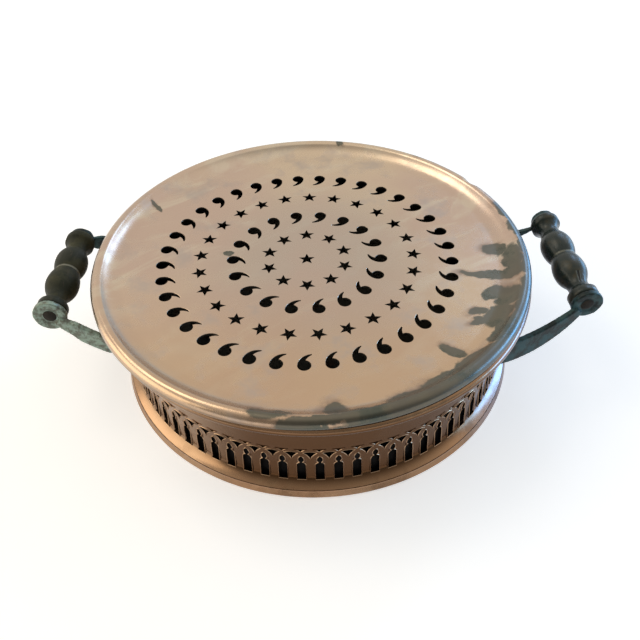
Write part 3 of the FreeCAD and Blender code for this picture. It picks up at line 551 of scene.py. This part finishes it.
lidShape = {
    "place": (-2.6, 0, 82.45), "fieldRadius": 133.0, "gauge": 1.2, "edge": 0.15, "patternShift": -2.7,
    "rimCircle": 149.75, "roll": 4.73, "bore": 3.55, "coveRun": 16.75, "fieldDrop": 2.3,
    "starPoints": 5, "starRadius": 5.95, "starWaist": 2.55,
    "innerStars": (10, 28.2, 0.0), "outerStars": (25, 76.7, -2.0),
    "innerCommas": (18, 53.2, 8.3), "outerCommas": (37, 103.6, 3.5),
    "commaHead": 4.4, "commaReach": 9.6, "commaSweep": 4.5, "commaNip": -10, "commaInner": 0.9, "commaTip": 1.0,
    "holeFlare": 1.02, "segments": 288, "rollSteps": 12, "commaSteps": 6, "sharp": 12,
}
lidDent = {"place": (128, 84, 87), "reach": 9.0, "push": (-1.5, -1.0, -0.8)}


def commaOutline(size):
    head, reach, sweep = size["commaHead"], size["commaReach"], size["commaSweep"]
    hook = (reach ** 2 + (head + sweep) ** 2) / (2 * (head + sweep))
    nip = math.radians(size["commaNip"])
    tip = Vector((-sweep, -reach))
    blunt = tip + (Vector((head - hook, 0)) - tip).normalized() * size["commaTip"]
    return outline([
        (head, 0, head, leftTurn), (0, head, head, leftTurn), (-head, 0, head, leftTurn),
        (head * math.sin(nip), -head * math.cos(nip), hook * size["commaInner"], rightTurn),
        tuple(blunt), (*tip, hook, leftTurn),
    ], size["commaSteps"])


# rings of stars and commas, and a star at the centre, cut from a round sheet
def piercedField():
    ringNames = ("Inner stars", "Outer stars", "Inner commas", "Outer commas")
    inputs = {"Field radius": "Float", "Segments": "Int", "Gauge": "Float", "Edge": "Float",
              "Pattern shift": "Float", "Star points": "Int", "Star radius": "Float", "Star waist": "Float"}
    for ring in ringNames:
        inputs.update({ring: "Int", ring + " circle": "Float", ring + " turn": "Float"})
    tree, given = newTree("piercedField", {**inputs, "Material": "Material"})
    flare = lidShape["holeFlare"]

    def moved(geometry, x=0.0, y=0.0, z=0.0, scale=1.0, turn=0.0):
        shift = addNode(tree, "ShaderNodeCombineXYZ", {0: x, 1: y, 2: z}).outputs[0]
        return addNode(tree, "GeometryNodeTransform", {
            "Geometry": geometry, "Translation": shift, "Rotation": (0, 0, turn), "Scale": (scale, scale, 1),
        }).outputs[0]

    def joined(parts):
        node = addNode(tree, "GeometryNodeJoinGeometry")
        for part in parts:
            wire(tree, part, node.inputs[0])
        return node.outputs[0]

    # a hole's wall: a short bevel at the top, then straight down
    def sleeve(curve):
        loop = addNode(tree, "GeometryNodeCurveToMesh", {0: curve}).outputs[0]
        position = addNode(tree, "GeometryNodeInputPosition").outputs[0]
        down = addNode(tree, "ShaderNodeCombineXYZ", {2: times(tree, given["Edge"], -1.0)}).outputs[0]
        bevel = addNode(tree, "GeometryNodeExtrudeMesh", {"Mesh": loop, "Offset": down, "Offset Scale": 1.0},
                        mode="EDGES").outputs
        narrow = vectorMath(tree, "MULTIPLY", position, (1 / flare, 1 / flare, 1))[0]
        drawn = addNode(tree, "GeometryNodeSetPosition", {
            "Geometry": bevel["Mesh"], "Position": narrow, "Selection": bevel["Top"],
        }).outputs[0]
        rest = mathNode(tree, "SUBTRACT", given["Edge"], given["Gauge"])
        lower = addNode(tree, "ShaderNodeCombineXYZ", {2: rest}).outputs[0]
        return addNode(tree, "GeometryNodeExtrudeMesh", {
            "Mesh": drawn, "Selection": bevel["Top"], "Offset": lower, "Offset Scale": 1.0,
        }, mode="EDGES").outputs["Mesh"]

    starCurve = addNode(tree, "GeometryNodeCurveStar", {
        "Points": given["Star points"], "Inner Radius": given["Star waist"], "Outer Radius": given["Star radius"],
    }).outputs["Curve"]
    starCurve = moved(starCurve, turn=math.pi / 2)
    commaCurve = addNode(tree, "GeometryNodeMeshToCurve", {0: given["Geometry"]}).outputs[0]
    shapes = {}
    for name, curve in (("stars", starCurve), ("commas", commaCurve)):
        wide = moved(curve, scale=flare)
        shapes[name] = (wide, curve, sleeve(wide))

    layers = [[shape] for shape in shapes["stars"]]
    for ring in ringNames:
        step = mathNode(tree, "DIVIDE", 2 * math.pi, given[ring])
        index = addNode(tree, "GeometryNodeInputIndex").outputs[0]
        first = mathNode(tree, "RADIANS", given[ring + " turn"])
        angle = mathNode(tree, "ADD", times(tree, index, step), first)
        spin = addNode(tree, "ShaderNodeCombineXYZ", {2: angle}).outputs[0]
        points = addNode(tree, "GeometryNodePoints", {"Count": given[ring]}).outputs[0]
        for layer, shape in zip(layers, shapes[ring.split()[1]]):
            placed = moved(shape, y=given[ring + " circle"])
            copies = addNode(tree, "GeometryNodeInstanceOnPoints", {
                "Points": points, "Instance": placed, "Rotation": spin,
            }).outputs[0]
            layer.append(addNode(tree, "GeometryNodeRealizeInstances", {0: copies}).outputs[0])
    wides, trues, sleeves = [moved(joined(layer), x=given["Pattern shift"]) for layer in layers]
    border = addNode(tree, "GeometryNodeCurvePrimitiveCircle", {
        "Resolution": given["Segments"], "Radius": given["Field radius"],
    }).outputs[0]
    top = addNode(tree, "GeometryNodeFillCurve", {0: joined([border, wides])}).outputs[0]
    bottom = addNode(tree, "GeometryNodeFillCurve", {0: joined([border, trues])}).outputs[0]
    bottom = moved(bottom, z=times(tree, given["Gauge"], -1.0))
    endTree(tree, joined([top, bottom, sleeves]), given["Material"])
    return tree


def lidEdgeProfile(size):
    roll, run, drop = size["roll"], size["coveRun"], size["fieldDrop"]
    cove = (run ** 2 + drop ** 2 - roll ** 2) / (2 * (roll + drop))
    bore, gauge, rim, field = size["bore"], size["gauge"], size["rimCircle"], size["fieldRadius"]
    meet, under = cove / (cove + roll), (cove + gauge) / (cove + roll)
    return outline([
        (field, -gauge, cove + gauge, leftTurn),
        (field + run * under, cove + (drop - cove) * under, bore, rightTurn),
        (rim, drop + bore, bore, rightTurn), (rim + bore, drop, bore, rightTurn),
        (rim, drop - bore), (rim, drop - roll, roll, leftTurn),
        (rim + roll, drop, roll, leftTurn), (rim, drop + roll, roll, leftTurn),
        (field + run * meet, cove + (drop - cove) * meet, cove, rightTurn), (field, 0),
    ], size["rollSteps"])


def buildLid():
    size = lidShape
    values = {
        "Field radius": size["fieldRadius"] * mm, "Segments": size["segments"], "Gauge": size["gauge"] * mm,
        "Edge": size["edge"] * mm, "Pattern shift": size["patternShift"] * mm, "Star points": size["starPoints"],
        "Star radius": size["starRadius"] * mm, "Star waist": size["starWaist"] * mm,
        "Material": finishes["lid_copper"],
    }
    for ring, key in (("Inner stars", "innerStars"), ("Outer stars", "outerStars"),
                      ("Inner commas", "innerCommas"), ("Outer commas", "outerCommas")):
        count, circle, turn = size[key]
        values.update({ring: count, ring + " circle": circle * mm, ring + " turn": turn})
    comma = loopMesh("comma", [[(x, y, 0) for x, y in commaOutline(size)]])
    field = grow("lidSheet", piercedField(), comma, values)
    profile = loopMesh("lidEdge", [[(x, 0, y) for x, y in lidEdgeProfile(size)]], closed=False)
    edge = grow("lidEdge", latheTree, profile, {
        "Segments": size["segments"], "Wobble": 0.0, "Wobble scale": 1.0, "Material": finishes["lid_copper"],
    })
    shape = bmesh.new()
    for part in (field, edge):
        shape.from_mesh(part.data)
    shape.transform(Matrix.Translation(Vector(size["place"]) * mm))
    for vert in shape.verts:
        near = (vert.co - Vector(lidDent["place"]) * mm).length / (lidDent["reach"] * mm)
        if near < 1:
            vert.co += Vector(lidDent["push"]) * mm * (1 - near ** 2) ** 2
    shape.to_mesh(field.data)
    shape.free()
    bpy.data.objects.remove(edge)
    dress(smoothed(field, size["sharp"]), "lid", ["lid_plate"])


buildLid()

# grips: turned pieces on their own axes

gripShape = {
    "half": 42.0, "bore": 3.05, "endRadius": 10.6, "endLand": 6.0, "endRound": 2.0,
    "neckRadius": 7.2, "neckInset": 13.0, "bulgeRadius": 11.6, "bulgeInset": 29.5, "share": 0.62,
    "lipRadius": 9.4, "lipWidth": 1.4, "grooveRadius": 8.8,
    "left": {"reach": -179.35, "splay": -1.6, "tilt": -2.2}, "right": {"reach": 180.35, "splay": 7.0, "tilt": 3.8},
    "level": 74.725, "segments": 64, "steps": 8, "sharp": 50, "wobble": -0.35, "wobbleScale": 70.0,
}
# the crack: its light lip is a painted highlight and its near-black core is painted shade
gripCrack = {
    "around": 0.255, "from": 21.0, "to": 30.5, "fade": 1, "half": 0.017, "core": 0.6, "wander": 0.08, "depth": 3.0,
    "lipOuter": 1.9, "lipInner": 1.2, "lip": (0.1, 0.12, 0.11), "dark": (0.002, 0.002, 0.002),
}


def gripProfile(size):
    half, bore = size["half"], size["bore"]
    end, rounding, knob = size["endRadius"], size["endRound"], half - size["endLand"]
    neck, neckPlace = size["neckRadius"], half - size["neckInset"]
    bulge, bulgePlace = size["bulgeRadius"], half - size["bulgeInset"]
    lip, lipPlace = size["lipRadius"], size["lipWidth"]
    drop, run = bulge - neck, neckPlace - bulgePlace
    total = (drop ** 2 + run ** 2) / (2 * drop)
    swell, ease = total * size["share"], total * (1 - size["share"])
    slope = (bulge - drop * size["share"], bulgePlace + run * size["share"])
    waistRun, waistDrop = bulgePlace - lipPlace, bulge - lip
    waist = (waistRun ** 2 + waistDrop ** 2) / (2 * waistDrop)
    flareRun, flareRise = knob - neckPlace, end - neck
    flare = (flareRun ** 2 + flareRise ** 2) / (2 * flareRise)
    return outline([
        (bore, -half), (end - rounding, -half, rounding, leftTurn), (end, -half + rounding),
        (end, -knob, flare, rightTurn), (neck, -neckPlace, ease, rightTurn), (slope[0], -slope[1], swell, leftTurn),
        (bulge, -bulgePlace, waist, leftTurn), (lip, -lipPlace), (size["grooveRadius"], 0),
        (lip, lipPlace, waist, leftTurn), (bulge, bulgePlace, swell, leftTurn), (*slope, ease, rightTurn),
        (neck, neckPlace, flare, rightTurn), (end, knob), (end, half - rounding, rounding, leftTurn),
        (end - rounding, half), (bore, half),
    ], size["steps"])


def gripMatrix(place):
    splay, tilt = math.radians(place["splay"]), math.radians(place["tilt"])
    ahead = Vector((math.sin(splay) * math.cos(tilt), -math.cos(splay) * math.cos(tilt), -math.sin(tilt)))
    aside = Vector((math.cos(splay), math.sin(splay), 0))
    up = ahead.cross(aside)
    turn = Matrix((aside, up, ahead)).transposed().to_4x4()
    return Matrix.Translation(Vector((place["reach"], 0, gripShape["level"])) * mm) @ turn


def buildGrip(side, material):
    corners = gripProfile(gripShape)
    profile = loopMesh(f"{side}Profile", [[(x, 0, y) for x, y in corners]])
    grip = grow(f"{side}Grip", latheTree, profile, {
        "Segments": gripShape["segments"], "Wobble": gripShape["wobble"] * mm, "Material": material,
        "Wobble scale": gripShape["wobbleScale"],
    })
    grip.data.transform(gripMatrix(gripShape[side]))
    dress(smoothed(grip, gripShape["sharp"]), f"{side}_handle", [f"{side}_grip"])


buildGrip("left", finishes["grip_wood"])
buildGrip("right", gripWood("crackedWood", gripFinish["right"], gripCrack))

# drum: the shoulder and foot turned, the gallery's sheet smoothed and its skirt eased

drumShape = {
    "wall": 137.5, "gauge": 1.2, "galleryTop": 47.0, "coveFoot": 60.65, "cove": 12.25,
    "rim": 149.75, "rimLevel": 76.3, "curl": 3.4, "bore": 2.2,
    "foot": 146.0, "skirt": 144.1, "footHeight": 5.2, "footGauge": 1.6, "footLand": 5.0,
    "segments": 288, "steps": 10, "sharp": 35, "sheetSharp": 30,
}
arcadeShape = {
    "bays": 72, "wall": 137.5, "foot": 6.4, "skirtHeight": 7.0, "skirtFlare": 6.6, "skirtEase": 1.6,
    "width": 6.3, "sill": 4.6, "side": 13.9, "neckWidth": 2.0, "neckRise": 3.4, "neckRound": 1.1,
    "headWidth": 4.0, "headRise": 3.0, "headRound": 0.9, "tipRise": 3.5, "tipRound": 1.25,
    "shieldWidth": 9.2, "shieldDrop": 6.6, "shieldRound": 1.9, "shieldTop": 31.8, "shieldCrown": 1.1,
    "gussetWidth": 8.0, "gussetDrop": 2.6, "gussetRound": 5.0, "gussetTop": 35.2,
    "bead": 0.32, "beadSides": 4, "steps": 4, "sharp": 60,
}


# how far the skirt stands out from the wall, as the frame has it, and how far it is eased from that
def skirtReach(size, z):
    below = min(max(size["foot"] + size["skirtHeight"] - z, 0), size["skirtHeight"])
    sweep = (size["skirtFlare"] ** 2 + size["skirtHeight"] ** 2) / (2 * size["skirtFlare"])
    plain = sweep - math.sqrt(sweep ** 2 - below ** 2)
    return plain, size["skirtFlare"] * (below / size["skirtHeight"]) ** size["skirtEase"] - plain


def shoulderProfile(size):
    wall, gauge, top = size["wall"], size["gauge"], size["galleryTop"]
    spring, cove = size["coveFoot"], size["cove"]
    rim, level, curl, bore = size["rim"], size["rimLevel"], size["curl"], size["bore"]
    return outline([
        (wall, top), (wall, spring, cove, rightTurn), (rim, level - curl, curl, leftTurn),
        (rim + curl, level, curl, leftTurn), (rim, level + curl, curl, leftTurn), (rim - curl, level),
        (rim - bore, level, bore, rightTurn), (rim, level + bore, bore, rightTurn),
        (rim + bore, level, bore, rightTurn), (rim, level - bore, cove + gauge, leftTurn),
        (wall - gauge, spring), (wall - gauge, top), (wall, top),
    ], size["steps"])


def footProfile(size):
    foot, skirt, height = size["foot"], size["skirt"], size["footHeight"]
    gauge, land = size["footGauge"], size["footLand"]
    return [
        (foot - land, 0), (foot - gauge / 2, 0), (foot, gauge), (skirt, height), (skirt - land, height),
        (skirt - land, height - gauge), (skirt - gauge, height - gauge), (foot - gauge, gauge), (foot - land, gauge),
        (foot - land, 0),
    ]


def buildDrum():
    for name, corners, replaced in (("drumShoulder", shoulderProfile(drumShape), "drum_shoulder"),
                                    ("drumFoot", footProfile(drumShape), "foot_ring")):
        profile = loopMesh(name + "Profile", [[(x, 0, y) for x, y in corners]], closed=False)
        piece = grow(name, latheTree, profile, {
            "Segments": drumShape["segments"], "Wobble": 0.0, "Wobble scale": 1.0, "Material": finishes["drum_copper"],
        })
        dress(smoothed(piece, drumShape["sharp"]), "drum", [replaced])
    sheet = nodes["drum_gallery"].data.copy()
    sheet.transform(nodes["drum_gallery"].matrix_world)
    for vert in sheet.vertices:
        ease = skirtReach(arcadeShape, vert.co.z / mm)[1] * mm
        vert.co += Vector((vert.co.x, vert.co.y, 0)).normalized() * ease
    gallery = bpy.data.objects.new("gallerySheet", sheet)
    scene.collection.objects.link(gallery)
    dress(smoothed(gallery, drumShape["sheetSharp"]), "drum", ["drum_gallery"])


buildDrum()

# arcade: a fine raised line round every opening

def bayOutlines(size):
    sill = size["foot"] + size["sill"]
    spring = sill + size["side"]
    neck = spring + size["neckRise"]
    head = neck + size["headRise"]
    tip = head + size["tipRise"]
    neckArc, headArc = size["neckRise"] * size["neckRound"], size["headRise"] * size["headRound"]
    tipArc = size["tipRise"] * size["tipRound"]
    wide, nipped, cusped = size["width"] / 2, size["neckWidth"] / 2, size["headWidth"] / 2
    lancet = [(-wide, sill), (wide, sill), (wide, spring, neckArc, leftTurn), (nipped, neck, headArc, leftTurn),
              (cusped, head, tipArc, leftTurn), (0, tip, tipArc, leftTurn), (-cusped, head, headArc, leftTurn),
              (-nipped, neck, neckArc, leftTurn), (-wide, spring)]
    column = size["wall"] * math.tan(math.pi / size["bays"])
    top, half = size["foot"] + size["shieldTop"], size["shieldWidth"] / 2
    side = size["shieldDrop"] * size["shieldRound"]
    crown = (half ** 2 + size["shieldCrown"] ** 2) / (2 * size["shieldCrown"])
    shield = [(column - half, top, side, rightTurn), (column, top - size["shieldDrop"], side, rightTurn),
              (column + half, top, crown, leftTurn)]
    high, limb = size["foot"] + size["gussetTop"], size["gussetDrop"] * size["gussetRound"]
    across = size["gussetWidth"] / 2
    gusset = [(-across, high, limb, rightTurn), (0, high - size["gussetDrop"], limb, rightTurn), (across, high)]
    return [outline(corners, size["steps"]) for corners in (lancet, shield, gusset)]


def onWall(size, x, z):
    radius = size["wall"] + sum(skirtReach(size, z))
    return (x, -math.sqrt(radius ** 2 - x ** 2), z)


def beadRing():
    tree, given = newTree("beadRing", {"Bays": "Int", "Bead": "Float", "Bead sides": "Int", "Material": "Material"})
    curve = addNode(tree, "GeometryNodeMeshToCurve", {0: given["Geometry"]}).outputs[0]
    section = addNode(tree, "GeometryNodeCurvePrimitiveCircle", {
        "Resolution": given["Bead sides"], "Radius": given["Bead"],
    }).outputs[0]
    bead = addNode(tree, "GeometryNodeCurveToMesh", {"Curve": curve, "Profile Curve": section}).outputs[0]
    points = addNode(tree, "GeometryNodePoints", {"Count": given["Bays"]}).outputs[0]
    step = mathNode(tree, "DIVIDE", 2 * math.pi, given["Bays"])
    angle = times(tree, addNode(tree, "GeometryNodeInputIndex").outputs[0], step)
    spin = addNode(tree, "ShaderNodeCombineXYZ", {2: angle}).outputs[0]
    copies = addNode(tree, "GeometryNodeInstanceOnPoints", {"Points": points, "Instance": bead, "Rotation": spin})
    endTree(tree, copies.outputs[0], given["Material"])
    return tree


def buildArcadeBeads():
    loops = [[onWall(arcadeShape, x, z) for x, z in loop] for loop in bayOutlines(arcadeShape)]
    beads = grow("archBeads", beadRing(), loopMesh("bay", loops), {
        "Bays": arcadeShape["bays"], "Bead": arcadeShape["bead"] * mm, "Bead sides": arcadeShape["beadSides"],
        "Material": archBeadHighlight,
    })
    dress(smoothed(beads, arcadeShape["sharp"]), "drum", [])


buildArcadeBeads()

# arms: the cast pieces, softened as a casting is

castShape = {
    "voxel": 0.6, "soften": 0.5, "passes": 7, "slice": 2.0,
    "fuller": {
        "left_front": {"from": -170.0, "to": -136.0, "ease": 9.0, "share": 0.45, "lift": 0.0},
        "left_rear": {"from": -174.0, "to": -138.0, "ease": 12.0, "share": 0.2, "lift": 3.0},
    },
}


# makes an arm's bar deeper about its own middle between two places along x, and lifts it
def deepen(mesh, fuller):
    step = castShape["slice"] * mm
    levels = {}
    for vert in mesh.vertices:
        levels.setdefault(round(vert.co.x / step), []).append(vert.co.z)
    middles = {row: (min(heights) + max(heights)) / 2 for row, heights in levels.items()}
    for vert in mesh.vertices:
        x, z = vert.co.x / mm, vert.co.z
        inside = min(max(min(x - fuller["from"], fuller["to"] - x) / fuller["ease"], 0), 1)
        weight = inside * inside * (3 - 2 * inside)
        row, between = divmod(vert.co.x / step, 1)
        middle = middles.get(row, z) * (1 - between) + middles.get(row + 1, z) * between
        vert.co.z += ((z - middle) * fuller["share"] + fuller["lift"] * mm) * weight


def buildArm(corner):
    node = nodes[f"{corner}_arm"]
    mesh = node.data.copy()
    mesh.transform(node.matrix_world)
    side, end = corner.split("_")
    cast = bpy.data.objects.new(f"{side}{end.capitalize()}Cast", mesh)
    scene.collection.objects.link(cast)
    shape = bmesh.new()
    shape.from_mesh(mesh)
    bmesh.ops.remove_doubles(shape, verts=shape.verts, dist=weld)
    shape.to_mesh(mesh)
    shape.free()
    remesh = cast.modifiers.new("remesh", "REMESH")
    remesh.mode = "VOXEL"
    remesh.voxel_size = castShape["voxel"] * mm
    soften = cast.modifiers.new("soften", "SMOOTH")
    soften.factor = castShape["soften"]
    soften.iterations = castShape["passes"]
    ready = cast.evaluated_get(bpy.context.evaluated_depsgraph_get())
    softened = bpy.data.meshes.new_from_object(ready)
    cast.modifiers.clear()
    cast.data = softened
    if corner in castShape["fuller"]:
        deepen(softened, castShape["fuller"][corner])
    softened.materials.clear()
    softened.materials.append(finishes["arm_bronze"])
    softened.shade_smooth()
    dress(cast, "drum", [f"{corner}_arm"])


for corner in ("right_front", "right_rear", "left_front", "left_rear"):
    buildArm(corner)

# floor and light

studio = {
    "floor": (0.9, 0.9, 0.9), "speck": (0.92, 0.92, 0.92), "speckScale": 30.0, "half": 6.0, "rough": 0.9, "lift": 0.48,
    "fill": 0.42, "front": 0.34, "rear": 0.92, "levelRange": (-0.75, 0.05),
    "warm": (1.0, 0.95, 0.86), "cool": (0.62, 0.8, 1.0), "coolHeight": (0.3, 0.1), "coolSide": (-0.3, 0.3),
}
lamps = {
    "topBox": {"place": (-0.85, 0.5, 1.6), "aim": (0, 0, 0), "size": (0.8, 0.8), "power": 5,
               "colour": (1.0, 0.9, 0.74)},
    "rightWindow": {"place": (1.3, 0.32, 0.22), "aim": (0, 0, 0.06), "size": (1.5, 0.36), "power": 12,
                    "colour": (0.26, 0.58, 1.0)},
    "leftGlow": {"place": (-1.3, -0.25, 0.5), "aim": (0, 0, 0.06), "size": (1.4, 0.9), "power": 6,
                 "colour": (1.0, 0.88, 0.68)},
    "backWindow": {"place": (0.75, 1.05, 0.85), "aim": (0, 0, 0.06), "size": (0.4, 0.6), "power": 2.8,
                   "colour": (0.36, 0.62, 1.0)},
}


# 1 where the camera looks straight at it, and 1 where it looks straight, by a reflection or through glass
def seenBy(tree):
    path = addNode(tree, "ShaderNodeLightPath").outputs
    mirrored = mathNode(tree, "ADD", path["Is Glossy Ray"], path["Is Transmission Ray"])
    seen = mathNode(tree, "ADD", path["Is Camera Ray"], mirrored)
    return path["Is Camera Ray"], mathNode(tree, "MINIMUM", seen, 1.0)


def studioFloor():
    mesh = bpy.data.meshes.new("floor")
    half = studio["half"]
    mesh.from_pydata([(-half, -half, 0), (half, -half, 0), (half, half, 0), (-half, half, 0)], [], [(0, 1, 2, 3)])
    floor = bpy.data.objects.new("floor", mesh)
    scene.collection.objects.link(floor)
    material, tree, shader, coords = newMaterial("paleFloor")
    speck = noise(tree, coords, studio["speckScale"], detail=2.0).outputs["Fac"]
    wire(tree, blend(tree, speck, studio["floor"], studio["speck"]), shader.inputs["Base Color"])
    shader.inputs["Roughness"].default_value = studio["rough"]
    shader.inputs["Emission Color"].default_value = (1, 1, 1, 1)
    wire(tree, times(tree, seenBy(tree)[1], studio["lift"]), shader.inputs["Emission Strength"])
    floor.data.materials.append(material)


def softbox(name, box):
    lamp = bpy.data.lights.new(name, "AREA")
    lamp.shape = "RECTANGLE"
    lamp.size, lamp.size_y = box["size"]
    lamp.energy = box["power"]
    lamp.color = box["colour"]
    holder = bpy.data.objects.new(name, lamp)
    scene.collection.objects.link(holder)
    holder.location = box["place"]
    holder.rotation_euler = (Vector(box["aim"]) - Vector(box["place"])).to_track_quat("-Z", "Y").to_euler()


# brighter behind than in front, cool low on the right, and plain white where the camera sees it
def skyLight():
    world = bpy.data.worlds.new("studioWorld")
    scene.world = world
    world.use_nodes = True
    tree = world.node_tree
    tree.nodes.clear()
    toward = addNode(tree, "ShaderNodeTexCoord").outputs["Generated"]
    toward = addNode(tree, "ShaderNodeSeparateXYZ", {0: toward}).outputs
    low = times(tree, span(tree, toward["Z"], *studio["coolHeight"]), span(tree, toward["X"], *studio["coolSide"]))
    camera, seen = seenBy(tree)
    tint = blend(tree, camera, blend(tree, low, studio["warm"], studio["cool"]), (1.0, 1.0, 1.0))
    level = span(tree, toward["Y"], *studio["levelRange"], studio["front"], studio["rear"])
    level = mathNode(tree, "MAXIMUM", level, camera)
    strength = addNode(tree, "ShaderNodeMix", {0: seen, 2: studio["fill"], 3: level}).outputs[0]
    background = addNode(tree, "ShaderNodeBackground", {"Color": tint, "Strength": strength})
    output = addNode(tree, "ShaderNodeOutputWorld")
    wire(tree, background.outputs[0], output.inputs["Surface"])


studioFloor()
skyLight()
for name, box in lamps.items():
    softbox(name, box)
print("studio lit")
